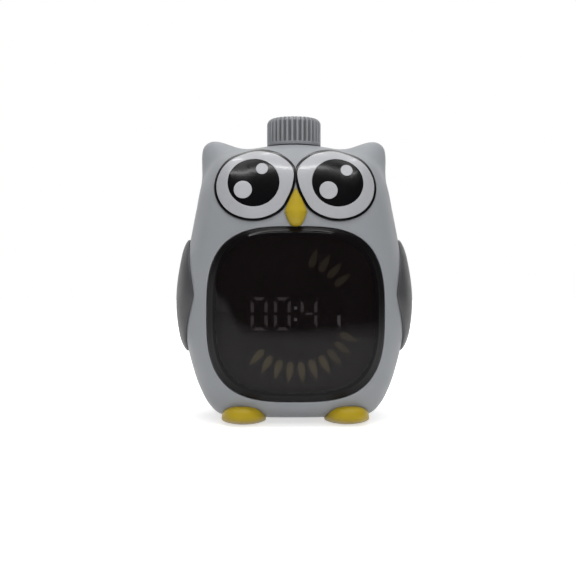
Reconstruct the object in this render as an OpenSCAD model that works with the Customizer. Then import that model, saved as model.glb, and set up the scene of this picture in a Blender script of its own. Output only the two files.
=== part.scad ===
// Digital study timer in the shape of an owl: two moulded shells, a smoked window over a ring of
// light petals and four digits, a knob on the head that turns and presses, and a battery bay behind.
// Millimetres, +Z up. The face looks towards -Y and the feet stand on Z = 0.

/* [Shells] */
// Wall thickness of both shells
wall = 2.0; // [1.8:0.1:2.2]
// Depth of the body in front of the parting line
front_depth = 36.5; // [36.5:0.5:38]
// Depth of the body behind the parting line
rear_depth = 34; // [33.5:0.5:37]
// How far the ears stand out of the head
ear_rise = 7.9; // [4:0.1:8.5]
// Gap between the two shells at the parting line
parting_gap = 0.2; // [0.1:0.05:0.3]

/* [Window] */
// Width of the smoked window
window_w = 67; // [65:0.5:68]
// Height of the smoked window
window_h = 65.4; // [64:0.5:66]
// How far the window stands proud of the body
window_pillow = 1.5; // [0.8:0.1:1.6]

/* [Display] */
// Number of light petals in the ring
petal_count = 30; // [12:2:30]
// Radius of the circle through the middles of the petals
petal_ring_r = 22.3; // [22:0.1:22.8]
// Length of one petal
petal_l = 8.2; // [7:0.1:8.4]
// Width of one petal
petal_w = 3.2; // [2:0.1:3.4]
// Height of the digits
digit_h = 12.7; // [11:0.1:12.8]

/* [Knob] */
// Diameter of the knob over its ribs
knob_d = 21.8; // [20:0.1:22]
// Number of ribs round the knob
knob_ribs = 33; // [24:1:40]
// How far the knob presses down
knob_travel = 0.3; // [0.2:0.1:0.4]

/* [Batteries and switches] */
// Diameter of one cell
cell_d = 10.4; // [10:0.1:10.5]
// Length of one cell over its nub
cell_l = 44.5; // [44:0.1:44.5]
// How far a slide switch moves from its middle to either end
switch_travel = 2.0; // [1:0.1:2]

/* [Fasteners] */
// Shank diameter of the case screws
case_screw_d = 2.6; // [2.2:0.1:2.8]
// Shank diameter of the board screws
board_screw_d = 2.0; // [1.6:0.1:2.2]

/* [Hidden] */
$fn = 48;

// Middle of the body's outline and of the window
body_z = 42.2;
// Parting line of the shells, which is also the plane of the knob's axis
part_y = 2;
// Half outline of the body seen from the front: angle round the middle, radius
outline = [[-90, 40.3], [-72, 42.3], [-60, 46.4], [-53, 49.2], [-46, 49.1], [-38, 47.6], [-24, 45.2],
    [-8, 44.3], [8, 45], [24, 47.3], [36, 51.1], [46, 56.6], [56, 64.7], [64, 69.5], [72, 67.8], [81, 67.5],
    [90, 66.3]];
// How squarely the body rounds off towards front and back: at the crown, the sides and the base
crown_bulge = 2.8;
side_bulge = 3.2;
base_bulge = 7;
// Ear: its angle on the outline, its spread outwards and inwards in degrees, and its depth
ear_angle = 61.8;
ear_out = 4.8;
ear_in = 8.8;
ear_y = 2.5;
ear_depth = 8.5;
ear_hollow = 0.75;
// Low seat that the crown rises to under the knob: its height, its flat radius, its fall outside it
// and how much faster it falls towards the back
seat_z = 108.95;
seat_r = 10.5;
seat_fall = 0.055;
seat_back = 0.35;

// Angles of the points round the body, closer together at the corners and the ears
half_turn = concat([for (i = [0:4]) -90 + 6 * i], [for (i = [0:6]) -60 + 30 / 7 * i],
    [for (i = [0:7]) -30 + 7.5 * i], [for (i = [0:15]) 30 + 2.8125 * i], [for (i = [0:2]) 75 + 5 * i]);
halves = len(half_turn);
turn = concat(half_turn, [90], [for (i = [halves - 1:-1:1]) 180 - half_turn[i]]);
// Depth angles of the rings behind the parting line, and how far each ring in front of it lies on
// the way to the window; the first ones are close together, for the ears
rear_depths = [90.8, 92.2, 95, 100, 107, 116, 127, 139, 151, 163, 173];
front_shares = [0.014, 0.04, 0.09, 0.16, 0.24, 0.32, 0.4, 0.48, 0.57, 0.67, 0.78, 0.9, 1];

function fold(t) = atan2(sin(t), abs(cos(t)));
function knot(i) = i < 0 ? [-180 - outline[1][0], outline[1][1]]
    : i >= len(outline) ? [180 - outline[len(outline) - 2][0], outline[len(outline) - 2][1]] : outline[i];
function span(a, i = 0) = i >= len(outline) - 2 || a < outline[i + 1][0] ? i : span(a, i + 1);
// Radius of the outline at an angle, a smooth curve through its points
function body_r(a) = let (i = span(a), p = knot(i), q = knot(i + 1), h = q[0] - p[0], t = (a - p[0]) / h,
    m = (q[1] - knot(i - 1)[1]) / (q[0] - knot(i - 1)[0]) * h,
    k = (knot(i + 2)[1] - p[1]) / (knot(i + 2)[0] - p[0]) * h)
    (2 * t^3 - 3 * t^2 + 1) * p[1] + (t^3 - 2 * t^2 + t) * m
    + (3 * t^2 - 2 * t^3) * q[1] + (t^3 - t^2) * k;
function bulge(a) = a > 0 ? side_bulge + (crown_bulge - side_bulge) * sin(a)^2
    : side_bulge + (base_bulge - side_bulge) * sin(a)^4;
function ear(a, y) = ear_rise * exp(-((a - ear_angle) / (a < ear_angle ? ear_out : ear_in))^2)
    * exp(-(abs(y - ear_y) / ear_depth)^3);
// Point of the skin at a turn angle and a depth angle, which is 0 in front, 90 at the parting line
// and 180 behind. The inner wall is the same form, inset.
function skin(t, f, inset = 0) = let (a = fold(t), n = bulge(a), s = f <= 90 ? -1 : 1,
    y = part_y + s * ((s < 0 ? front_depth : rear_depth) - inset) * abs(cos(f))^(2 / n),
    r = (body_r(a) - inset + (inset > 0 ? ear_hollow : 1) * ear(a, y)) * sin(f)^(2 / n))
    [r * cos(t), y, max(body_z + r * sin(t), sin(t) > 0 ? seat(r * cos(t), y) - inset : 0)];
function seat(x, y) = let (p = norm([x, y - part_y]), back = seat_back * max(0, y - part_y) / max(1, p))
    p < 2 * seat_r ? seat_z - seat_fall * (1 + back) * max(0, p - seat_r)^2 : 0;
// Depth angle at which the skin passes a given radius
function skin_f(t, r, inset = 0) = let (a = fold(t)) asin(min(1, r / (body_r(a) - inset))^(bulge(a) / 2));
// Share of the outline's radius left at a depth
function shrink(a, y) = let (n = bulge(a)) max(0, 1 - (abs(y - part_y)
    / (y < part_y ? front_depth : rear_depth))^n)^(1 / n);
// Depth of the front skin over a point of the face
function face_y(x, z, y = -30, i = 0) = let (a = fold(atan2(z - body_z, x)), n = bulge(a),
    r = norm([x, z - body_z]) / (body_r(a) + ear(a, y)),
    d = part_y - front_depth * max(0, 1 - r^n)^(1 / n)) i == 4 ? d : face_y(x, z, d, i + 1);
// Half width of the skin at a depth and a height, and height of its underside
function side_x(y, z, x = 44, i = 0) = let (a = atan2(z - body_z, x),
    w = sqrt(max(1, ((body_r(a) + ear(a, y)) * shrink(a, y))^2 - (z - body_z)^2)))
    i == 6 ? w : side_x(y, z, w, i + 1);
function under_z(x, y, z = 3, i = 0) = let (a = atan2(z - body_z, abs(x)),
    d = (body_r(a) * shrink(a, y))^2 - x^2, w = d > 0 ? body_z - sqrt(d) : body_z)
    i == 6 ? w : under_z(x, y, w, i + 1);
// Radius of a squared ellipse at an angle
function squared_r(t, w, h, n) = ((abs(cos(t)) / w)^n + (abs(sin(t)) / h)^n)^(-1 / n);

// Window: squareness above and below its middle, gap round it, ledge that it is stuck to
window_n = [3.15, 3.05];
window_gap = 0.25;
rabbet = 2.2;
ledge_w = 2.2;
ledge_t = 1.6;
tape_t = 0.4;
function window_r(t, grow = 0) = squared_r(t, window_w / 2 + grow, window_h / 2 + grow,
    sin(t) > 0 ? window_n[0] : window_n[1]);
function skin_y(t, r, inset = 0) = skin(t, skin_f(t, r, inset), inset)[1];
// Depths just under the front and the rear skin, over the whole end of a round post
function post_t(p) = atan2(p[1] - body_z, p[0]);
function post_r(p, r) = norm([p[0], p[1] - body_z]) + r;
function face_start(p, r) = skin_y(post_t(p), post_r(p, r)) + 0.25;
function back_end(p, r) = let (t = post_t(p)) skin(t, 180 - skin_f(t, post_r(p, r)))[1] - 0.25;
function ray(t, r, y) = [r * cos(t), y, body_z + r * sin(t)];

// Display planes, from the window inwards
frame_y = -27.8;
frame_t = 1.6;
board_y = -18;
board_t = 1.6;
diffuser_t = 1.9;
petal_step = 360 / petal_count;
digit_x = [-13.85, -5.05, 5.05, 13.85];
digit_w = 6.5;
segment_w = 1.35;
digit_corner = [0.95, 1.25];
housing_w = 34.6;
housing_h = digit_h + 0.5;

// Knob stack along its axis, from the top down
knob_top = 120.7;
knob_base = 109.4;
knob_round = 2.4;
rib_depth = 1;
rib_turn = 3.6;
stem_r = 5.05;
running_fit = 0.06;
shaft_r = 3;
encoder_z = 84.4;
encoder_h = 7.4;
encoder_post = [13, -8];

// Battery bay and door
bay_w = 3 * (cell_d + 1) + 0.6;
bay_h = 50.5;
bay_z = 38;
bay_floor_y = 21.3;
bay_rim_y = 32.2;
bay_wall = 1.7;
door_w = 38;
door_h = 53.5;
door_gap = 0.3;
bead_r = 1.4;
hinge_y = 33.6;
hinge_z = bay_z - door_h / 2 + bead_r;
door_top = bay_z + door_h / 2;
cell_y = bay_floor_y + cell_d / 2 + 0.1;

// Case posts: x, z, and the depth at which the rear bosses seat the screw heads
case_posts = [[28, 88], [33.6, 18.7]];
screw_seat_y = 8;
board_posts = [[32.9, 65.9], [35.2, 30.5]];

// Switches on the rear board
switch_z = 76;
switch_x = 11;
switch_board_y = 21.6;
switch_board_t = 1.6;
switch_case = [10, 4.4, 5];
slider_nub = [3, 2.2];
buzzer_z = 88;

// Wings and feet
wing_mid = [-4, 49.1];
wing_size = [20.5, 22.2];
wing_rise = 2.6;
wing_gap = 0.2;
foot_x = 19.8;
foot_front = -35;
foot_w = 16.9;
foot_l = 54.5;
foot_h = 7.6;
toe_l = 12;
toe_rim = 3.3;
belly_rim = 1.3;
sole_cut = 1.09;
toe_spring = [0.5, 0.045];
heel_l = 9;

shell_grey = "#9da1a6";
black = "#1a1a1c";
yellow = "#cdb02e";
metal = "#b9bcc0";
board_green = "#1f6b46";

// Solid from rings of equal length. A closed stack joins its last ring to its first, and an open
// one ends in a fan round the middle of each end ring.
module stacked(rings, closed = false, tips = []) {
    m = len(rings);
    n = len(rings[0]);
    points = concat([for (r = rings) each r], tips);
    last = closed ? m - 1 : m - 2;
    walls = [for (i = [0:last], j = [0:n - 1], k = [0, 1])
        let (a = i * n + j, b = i * n + (j + 1) % n, c = (i + 1) % m * n, d = c + (j + 1) % n)
        k == 0 ? [a, b, d] : [a, d, c + j]];
    ends = closed ? [] : concat([for (j = [0:n - 1]) [m * n, (j + 1) % n, j]],
        [for (j = [0:n - 1]) [m * n + 1, (m - 1) * n + j, (m - 1) * n + (j + 1) % n]]);
    polyhedron(points, concat(walls, ends));
}

// Ring of the skin at one depth angle, and ring of the widest outline, moved to another depth
function skin_ring(f, inset = 0) = [for (t = turn) skin(t, f, inset)];
function seam_ring(y, inset) = [for (t = turn)
    let (a = fold(t)) ray(t, body_r(a) + ear(a, part_y) - inset, y)];

// The body behind the parting line as one solid, which gives the door its outer face
module rear_form() {
    stacked([for (f = concat([90], rear_depths)) skin_ring(f)],
        tips = [[0, part_y, body_z], [0, part_y + rear_depth, body_z]]);
}

module sides() {
    for (s = [-1, 1]) scale([s, 1, 1]) children();
}

// Cylinder along Y from one depth to another
module bar_y(r, x, z, y0, y1) {
    translate([x, y1, z]) rotate([90, 0, 0]) cylinder(r = r, h = y1 - y0);
}

module bar_z(r, x, y, z0, z1) {
    translate([x, y, z0]) cylinder(r = r, h = z1 - z0);
}

// Cylinder along X, centred on X = 0, with its half length
module bar_x(r, half, y, z) {
    translate([-half, y, z]) rotate([0, 90, 0]) cylinder(r = r, h = 2 * half);
}

module block(x0, x1, y0, y1, z0, z1) {
    translate([x0, y0, z0]) cube([x1 - x0, y1 - y0, z1 - z0]);
}

// Flat outline in the face's plane, drawn as x and height above the body's middle, made solid in Y
module plate_y(y0, y1) {
    translate([0, y1, body_z]) rotate([90, 0, 0]) linear_extrude(y1 - y0) children();
}

module collar_hole() {
    bar_z(8.75, 0, part_y, 98, 125);
}

module front_shell() {
    lip = 1.6;
    seam_y = part_y - parting_gap / 2;
    function edge_f(t) = skin_f(t, window_r(t, window_gap));
    function inner_f(t) = skin_f(t, window_r(t, 1.8), wall);
    profile = concat(
        [for (k = [len(front_shares) - 1:-1:0])
            [for (t = turn) skin(t, 90 - (90 - edge_f(t)) * front_shares[k])]],
        [seam_ring(seam_y, 0), seam_ring(seam_y, 1)],
        [seam_ring(part_y - lip, 1), seam_ring(part_y - lip, wall)],
        [for (k = [0.05, 0.14, 0.3, 0.52, 0.76, 1])
            [for (t = turn) skin(t, 90 - (90 - inner_f(t)) * k, wall)]],
        [for (e = [[-ledge_w, rabbet + ledge_t], [-ledge_w, rabbet], [0, rabbet]])
            [for (t = turn) let (r = window_r(t, window_gap)) ray(t, r + e[0], skin_y(t, r) + e[1])]]);
    color(shell_grey) difference() {
        union() {
            stacked(profile, closed = true);
            sides() {
                for (p = case_posts) bar_y(3, p[0], p[1], face_start(p, 3), 0.2);
                for (p = board_posts) bar_y(2.6, p[0], p[1], face_start(p, 2.6), board_y);
                bar_z(2.4, encoder_post[0], encoder_post[1], encoder_z, 106.3);
            }
        }
        sides() {
            for (p = case_posts) bar_y(case_screw_d / 2 - 0.2, p[0], p[1], -11, 1);
            for (p = board_posts) bar_y(board_screw_d / 2 - 0.15, p[0], p[1], board_y - 4, board_y + 1);
            bar_z(board_screw_d / 2 - 0.15, encoder_post[0], encoder_post[1],
                encoder_z - 1, encoder_z + 6);
            for (z = wing_pegs) translate([38, -11, z]) rotate([0, 90, 0]) cylinder(r = 1.5, h = 9);
            for (y = foot_pegs) bar_z(1.8, foot_x, y, 0, 8);
        }
        bar_y(1.6, beak_peg[0], beak_peg[1], -37, -25);
        collar_hole();
    }
}

module rear_shell() {
    lip = 1.4;
    seam_y = part_y + parting_gap / 2;
    profile = concat(
        [for (f = [170, 156, 141, 127, 115, 105, 97, 92]) skin_ring(f, wall)],
        [seam_ring(part_y - lip, wall), seam_ring(part_y - lip, 1.1)],
        [seam_ring(seam_y, 1.1), seam_ring(seam_y, 0)],
        [for (f = rear_depths) skin_ring(f)]);
    color(shell_grey) difference() {
        union() {
            stacked(profile,
                tips = [[0, part_y + rear_depth - wall, body_z], [0, part_y + rear_depth, body_z]]);
            sides() for (p = case_posts) bar_y(3.8, p[0], p[1], part_y - 1, back_end(p, 3.8));
            sides() bar_y(2.2, 19, switch_z, switch_board_y + switch_board_t,
                back_end([19, switch_z], 2.2));
            block(-9, 9, 31.5, 34.5, bay_z + bay_h / 2, door_top + 7);
            intersection() {
                rear_form();
                door_prism(30.3, 40, 1.6);
            }
            block(-bay_w / 2 - bay_wall, bay_w / 2 + bay_wall, bay_floor_y - bay_wall, bay_rim_y,
                bay_z - bay_h / 2 - bay_wall, bay_z + bay_h / 2 + bay_wall);
        }
        sides() for (p = case_posts) {
            bar_y(case_screw_d / 2 + 0.15, p[0], p[1], 0, 40);
            bar_y(2.7, p[0], p[1], screw_seat_y, 40);
        }
        sides() bar_y(board_screw_d / 2 - 0.15, 19, switch_z, 20, switch_board_y + switch_board_t + 5);
        block(-bay_w / 2, bay_w / 2, bay_floor_y, 45, bay_z - bay_h / 2, bay_z + bay_h / 2);
        door_prism(bay_rim_y, 45, door_gap);
        bar_x(bead_r + 0.08, door_w / 2 + door_gap, hinge_y, hinge_z);
        translate([-7, 39, door_top]) rotate([0, 90, 0]) cylinder(r = 5, h = 14);
        for (x = [-12, 12]) block(x - 3.1, x + 3.1, 28.4, bay_rim_y + 1, 8.2, bay_z - bay_h / 2 + 1);
        for (x = [-switch_x, switch_x]) block(x - slider_nub[0] / 2 - switch_travel - 0.4,
            x + slider_nub[0] / 2 + switch_travel + 0.4, 26, 45, switch_z - 1.5, switch_z + 1.5);
        grille();
        collar_hole();
    }
}

module door_prism(y0, y1, grow = 0) {
    r = 3;
    x = door_w / 2 + grow;
    z = door_h / 2 + grow;
    block(-x, x, y0, y1, bay_z - z, bay_z + z - r);
    block(-x + r, x - r, y0, y1, bay_z, bay_z + z);
    sides() bar_y(r, x - r, bay_z + z - r, y0, y1);
}

// Sound holes in front of the buzzer
module grille() {
    bar_y(0.9, 0, buzzer_z, 24, 40);
    for (i = [0:5]) bar_y(0.9, 3.4 * cos(60 * i), buzzer_z + 3.4 * sin(60 * i), 22, 40);
    for (i = [0:11]) bar_y(0.9, 6.8 * cos(30 * i), buzzer_z + 6.8 * sin(30 * i), 20, 40);
}

module battery_door() {
    color(shell_grey) {
        intersection() {
            rear_form();
            union() {
                difference() {
                    door_prism(bay_rim_y + 0.1, 45);
                    block(-door_w, door_w, 30, 45, 0, hinge_z);
                }
                bar_x(bead_r, door_w / 2, hinge_y, hinge_z);
            }
        }
        for (x = [-12, 12]) {
            block(x - 2.5, x + 2.5, 30.6, 31.8, 8.8, 13.4);
            block(x - 2.5, x + 2.5, 31.7, bay_rim_y + 0.4, 11.5, 13.4);
        }
    }
}

module display_window() {
    lens_rise = [[0.3, 1], [0.55, 1], [0.75, 1], [0.91, 0.995], [0.932, 0.935], [0.965, 0.57], [1, 0.03]];
    back = [[1, 0], [0.93, 0], [0.9, 0.5], [0.6, 0.5], [0.3, 0.5]];
    rim_t = rabbet - tape_t - 0.1;
    rings = concat(
        [for (e = lens_rise) [for (t = turn) let (r = window_r(t) * e[0])
            ray(t, r, skin_y(t, r) - window_pillow * e[1])]],
        [for (e = back) [for (t = turn) let (w = window_r(t), r = w * e[0])
            ray(t, r, e[1] == 0 ? skin_y(t, w) + rim_t : skin_y(t, r) + rim_t - e[1])]]);
    mid_y = part_y - front_depth;
    color("#2b2a2e") stacked(rings,
        tips = [[0, mid_y - window_pillow, body_z], [0, mid_y + rim_t - 0.5, body_z]]);
}

module window_gasket() {
    edges = [[-0.2, 0.35], [-ledge_w + 0.3, 0.35], [-ledge_w + 0.3, 0], [-0.2, 0]];
    color(black) stacked([for (e = edges) [for (t = turn) let (r = window_r(t, window_gap))
        ray(t, r - 0.3 + e[0], skin_y(t, r) + rabbet - 0.38 + e[1])]], closed = true);
}

// Pad that lies on the face: rings of an outline about a middle, each with a share of its radius
// and a height over the skin, then the same going back under it
module face_pad(mid, radii, over, under, top, base) {
    n = len(radii);
    rings = [for (e = concat(over, under)) [for (i = [0:n - 1])
        let (t = 360 * i / n, x = mid[0] + e[0] * radii[i] * cos(t), z = mid[1] + e[0] * radii[i] * sin(t))
        [x, face_y(x, z) - e[1], z]]];
    stacked(rings, tips = [for (h = [top, base]) [mid[0], face_y(mid[0], mid[1]) - h, mid[1]]]);
}

// Beak: a kite with a rounded cut at its lower end
beak_mid = [0, 80.8];
beak_peg = [0, 80.5];
beak_half = 4.3;
beak_cut = 5.85;
function beak_r(t) = sin(t) > 0 ? squared_r(t, beak_half, 9.2, 1.1)
    : (squared_r(t, beak_half, 8.8, 1.2)^-8 + (beak_cut / max(0.01, -sin(t)))^-8)^(-1 / 8);

module beak() {
    color(yellow) {
        face_pad(beak_mid, [for (i = [0:27]) beak_r(360 * i / 28)],
            [[0.3, 3.7], [0.6, 3.1], [0.82, 2.1], [0.94, 1.1], [1, 0.3]],
            [[1, 0.12], [0.5, 0.12]], 3.8, 0.12);
        bar_y(1.5, beak_peg[0], beak_peg[1], -32.7, -27.5);
    }
}

// Eye: a smooth curve through sixteen radii about its middle, counted from the outer side upwards,
// with a round iris set off its middle
eye_mid = [15.6, 91.7];
eye_radii = [15.58, 15.05, 14.62, 14.48, 14.97, 15.26, 16.1, 16.75, 15.45, 14.6, 14.8, 14.6, 14.65,
    14.97, 15.5, 15.73];
eye_apart = 0.12;
eye_line = 1.0;
iris_mid = [16, 92.2];
iris_size = [9.85, 9.6];
plate_t = 0.65;
plate_shares = [0.2, 0.4, 0.6, 0.74, 0.86, 0.94];
white_apart = 0.55;
pad_gap = 0.3;
function eye_r(t) = let (n = len(eye_radii), s = t / 360 * n, i = floor(s), u = s - i,
    a = eye_radii[(i + n - 1) % n], b = eye_radii[(i + n) % n],
    c = eye_radii[(i + 1) % n], d = eye_radii[(i + 2) % n])
    min(b + 0.5 * u * (c - a + u * (2 * a - 5 * b + 4 * c - d + u * (3 * (b - c) + d - a))),
        (eye_mid[0] - eye_apart) / max(0.1, -cos(t)));

module eye_plate() {
    n = 48;
    reversed = [for (i = [len(plate_shares) - 1:-1:0]) plate_shares[i]];
    face_pad(eye_mid, [for (i = [0:n - 1]) eye_r(360 * i / n)],
        concat([for (k = plate_shares) [k, plate_t]], [[1, plate_t - 0.1]]),
        [for (k = concat([1], reversed)) [k, pad_gap]], plate_t, pad_gap);
}

module eye_white() {
    n = 48;
    rise = [plate_t + 0.25, plate_t + 0.08];
    shares = [0.25, 0.5, 0.75];
    steps = [for (i = [0:n - 1]) 360 * i / n];
    outer = [for (t = steps) eye_mid + min(eye_r(t) - eye_line,
        (eye_mid[0] - white_apart) / max(0.1, -cos(t))) * [cos(t), sin(t)]];
    inner = [for (t = steps) iris_mid + [iris_size[0] * cos(t), iris_size[1] * sin(t)]];
    rows = concat([[0, rise[0]]], [for (k = shares) [k, rise[0]]], [[1, rise[0]], [1, rise[1]]],
        [for (k = shares) [1 - k, rise[1]]], [[0, rise[1]]]);
    stacked([for (e = rows) [for (i = [0:n - 1]) let (p = inner[i] * (1 - e[0]) + outer[i] * e[0])
        [p[0], face_y(p[0], p[1]) - e[1], p[1]]]], closed = true);
}

module left_eye_plate() {
    color(black) mirror([1, 0, 0]) eye_plate();
}

module right_eye_plate() {
    color(black) eye_plate();
}

module left_eye_white() {
    color("#c4c5c9") mirror([1, 0, 0]) eye_white();
}

module right_eye_white() {
    color("#c4c5c9") eye_white();
}

// Two round glints in each iris, in the same places on both eyes
module eye_glints() {
    n = 20;
    glints = [[-20, 89.2, 3.55], [-12.8, 97.6, 2.35], [12.4, 89, 3.55], [19.6, 97.1, 2.35]];
    color("#cfd0d3") for (g = glints)
        face_pad([g[0], g[1]], [for (i = [0:n - 1]) g[2]], [[0.5, plate_t + 0.24], [1, plate_t + 0.2]],
            [for (k = [1, 0.5]) [k, plate_t + 0.06]], plate_t + 0.24, plate_t + 0.06);
}

wing_pegs = [40, 57];
function wing_r(t) = cos(t) < 0 ? squared_r(t, wing_size[0], wing_size[1], 1.5)
    : squared_r(t, wing_size[0] + 1.5, wing_size[1], 2);

// Wing: a leaf on the side of the body, with rounded edges and two pegs
module wing() {
    n = 36;
    over = [[0.3, 1], [0.6, 0.95], [0.82, 0.82], [0.94, 0.6], [1, 0.3]];
    under = [[1, 0], [0.8, 0], [0.6, 0], [0.4, 0], [0.2, 0]];
    rings = [for (e = concat(over, under)) [for (i = [0:n - 1])
        let (t = 360 * i / n, r = e[0] * wing_r(t), y = wing_mid[0] + r * cos(t),
            z = wing_mid[1] + r * sin(t))
        [side_x(y, z) + (e[1] > 0 ? wing_rise * e[1] : wing_gap), y, z]]];
    x = side_x(wing_mid[0], wing_mid[1]);
    stacked(rings, tips = [for (h = [wing_rise, wing_gap]) [x + h, wing_mid[0], wing_mid[1]]]);
    for (z = wing_pegs) translate([41, -11, z]) rotate([0, 90, 0]) cylinder(r = 1.4, h = 4);
}

module left_wing() {
    color("#545456") mirror([1, 0, 0]) wing();
}

module right_wing() {
    color("#545456") wing();
}

foot_pegs = [-18, -6];

// Foot: a long pad under the belly whose toe shows in front, its top cut to the belly's form.
// Each section across it is a squared oval about the rim's height.
module foot() {
    n = 24;
    far = foot_front + foot_l;
    function swell(d, l) = d > l ? 1 : (1 - (1 - d / l)^2.3)^(1 / 2.3);
    function width(y) = foot_w / 2 * swell(y - foot_front, toe_l) * swell(far - y, heel_l);
    function rim(d) = toe_rim + (belly_rim - toe_rim) * min(1, max(0, d - 5) / 9);
    function sole(d) = sole_cut * min(1, toe_spring[0] + toe_spring[1] * d);
    stations = [0.2, 0.7, 1.5, 2.6, 4, 5.6, 8, 11, 16, 24, 34, 44, 49, 52, 53.6, 54.3];
    rings = [for (d = stations) let (y = foot_front + d, g = swell(min(d, foot_l - d), 5.5))
        [for (i = [0:n - 1]) let (t = 360 * i / n, e = sin(t) > 0 ? 0.8 : 1,
            c = sign(cos(t)) * abs(cos(t))^e, s = sign(sin(t)) * abs(sin(t))^e, x = foot_x + width(y) * c,
            z = rim(d) + (s > 0 ? foot_h - rim(d) : sole(d) * rim(d)) * s * g)
            [x, y, max(0, min(z, under_z(x, y) - 0.15))]]];
    stacked(rings, tips = [[foot_x, foot_front, toe_rim], [foot_x, far - 0.05, belly_rim]]);
    for (y = foot_pegs) bar_z(1.7, foot_x, y, 1, 6);
}

module left_foot() {
    color(yellow) mirror([1, 0, 0]) foot();
}

module right_foot() {
    color(yellow) foot();
}

// One petal, rounded towards the ring's middle and pointed outwards
module petal_outline(grow = 0) {
    l = petal_l / 2 + grow;
    w = petal_w / 2 + grow;
    half = [[0, -l], [0.5 * w, -0.94 * l], [0.88 * w, -0.74 * l], [w, -0.45 * l], [0.97 * w, -0.1 * l],
        [0.78 * w, 0.3 * l], [0.42 * w, 0.7 * l], [0, l]];
    polygon(concat(half, [for (i = [6:-1:1]) [-half[i][0], half[i][1]]]));
}

module petals(grow = 0) {
    for (i = [0:petal_count - 1])
        rotate(petal_step * (i + 0.5)) translate([0, petal_ring_r]) petal_outline(grow);
}

module light_frame() {
    edge = [for (i = [0:71]) let (t = 5 * i, r = window_r(t, -ledge_w - 1.2)) r * [cos(t), sin(t)]];
    color(black) difference() {
        union() {
            plate_y(frame_y, frame_y + frame_t) polygon(edge);
            plate_y(frame_y + frame_t - 0.1, board_y - 0.2) difference() {
                circle(r = petal_ring_r + petal_l / 2 + 1.2);
                circle(r = 10);
            }
        }
        plate_y(frame_y - 1, board_y + 1) petals(0.05);
        plate_y(frame_y - 1, board_y + 1) square([housing_w + 0.2, housing_h + 0.2], center = true);
    }
}

module petal_diffusers() {
    color("#9c926c") plate_y(frame_y + 0.1, frame_y + 0.1 + diffuser_t) petals();
}

// The bars of a digit: the outer ones are cut back at its corners, the middle one is pointed
module digit() {
    w = digit_w / 2;
    h = digit_h / 2;
    b = segment_w;
    c = digit_corner;
    for (m = [0, 1]) mirror([0, m]) {
        polygon([[c[0] - w, h], [w - c[0], h], [w - c[0] - 0.8 * b, h - b], [c[0] + 0.8 * b - w, h - b]]);
        for (k = [0, 1]) mirror([k, 0])
            polygon([[w, h - c[1]], [w, 0.45], [w - b, 0.6], [w - b, h - c[1] - 0.85 * b]]);
    }
    polygon([[-1.6, 0], [-1.1, 0.5], [1.1, 0.5], [1.6, 0], [1.1, -0.5], [-1.1, -0.5]]);
}

module digits() {
    for (x = digit_x) translate([x, 0]) digit();
    for (z = [-2.2, 2.2]) translate([0, z]) square(1.3, center = true);
}

module digit_housing() {
    color(black) difference() {
        plate_y(frame_y + 0.1, board_y - 0.1) square([housing_w, housing_h], center = true);
        plate_y(frame_y - 1, frame_y + 1.6) digits();
    }
}

module digit_segments() {
    color("#8d8580") plate_y(frame_y + 0.15, frame_y + 1.6) digits();
}

module petal_leds() {
    color("#e6d9a0") plate_y(board_y - 1, board_y) for (i = [0:petal_count - 1])
        rotate(petal_step * (i + 0.5)) translate([0, petal_ring_r]) square([1.2, 2], center = true);
}

module main_board() {
    edge = [for (i = [0:47]) let (t = 7.5 * i) squared_r(t, 37.6, 33.2, 4) * [cos(t), sin(t)]];
    color(board_green) difference() {
        union() {
            plate_y(board_y, board_y + board_t) polygon(edge);
            sides() bar_y(2.8, board_posts[1][0], board_posts[1][1], board_y, board_y + board_t);
        }
        sides() {
            for (p = board_posts)
                bar_y(board_screw_d / 2 + 0.15, p[0], p[1], board_y - 1, board_y + board_t + 1);
            bar_y(3.5, case_posts[1][0], case_posts[1][1], board_y - 1, board_y + board_t + 1);
        }
    }
}

module main_chip() {
    color(black) block(-4, 4, board_y + board_t, board_y + board_t + 1.4, 46, 54);
}

// Pan head screw along +Y, its head at the far end
module screw(d, length, head_d, head_h) {
    rotate([-90, 0, 0]) {
        cylinder(r = d / 2, h = length);
        difference() {
            translate([0, 0, length]) cylinder(r = head_d / 2, h = head_h);
            for (a = [0, 90]) rotate(a)
                translate([-head_d / 4, -0.3, length + head_h - 0.7]) cube([head_d / 2, 0.6, 1]);
        }
    }
}

module board_screws() {
    reach = 3.8;
    color(metal) sides() for (p = board_posts)
        translate([p[0], board_y - reach, p[1]]) screw(board_screw_d - 0.3, reach + board_t, 3.8, 1.3);
}

module case_screws() {
    reach = 10;
    color(metal) sides() for (p = case_posts)
        translate([p[0], -reach, p[1]]) screw(case_screw_d - 0.4, reach + screw_seat_y, 4.8, 1.8);
}

module encoder_screws() {
    color(metal) sides() translate([encoder_post[0], encoder_post[1], encoder_z + 4]) rotate([-90, 0, 0])
        screw(board_screw_d - 0.3, 4 + board_t, 3.8, 1.3);
}

module switch_board_screws() {
    color(metal) sides() translate([19, switch_board_y + switch_board_t + 4, switch_z]) rotate([0, 0, 180])
        screw(board_screw_d - 0.3, 4 + switch_board_t, 3.8, 1.3);
}

// Knob profile: half section with a rounded shoulder
module knob_section(inset) {
    r = knob_d / 2 - inset;
    top = knob_top - inset / 2;
    c = knob_round;
    polygon(concat([[0, knob_base], [r, knob_base]],
        [for (a = [0:15:90]) [r - c + c * cos(a), top - c + c * sin(a)]], [[0, top]]));
}

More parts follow.
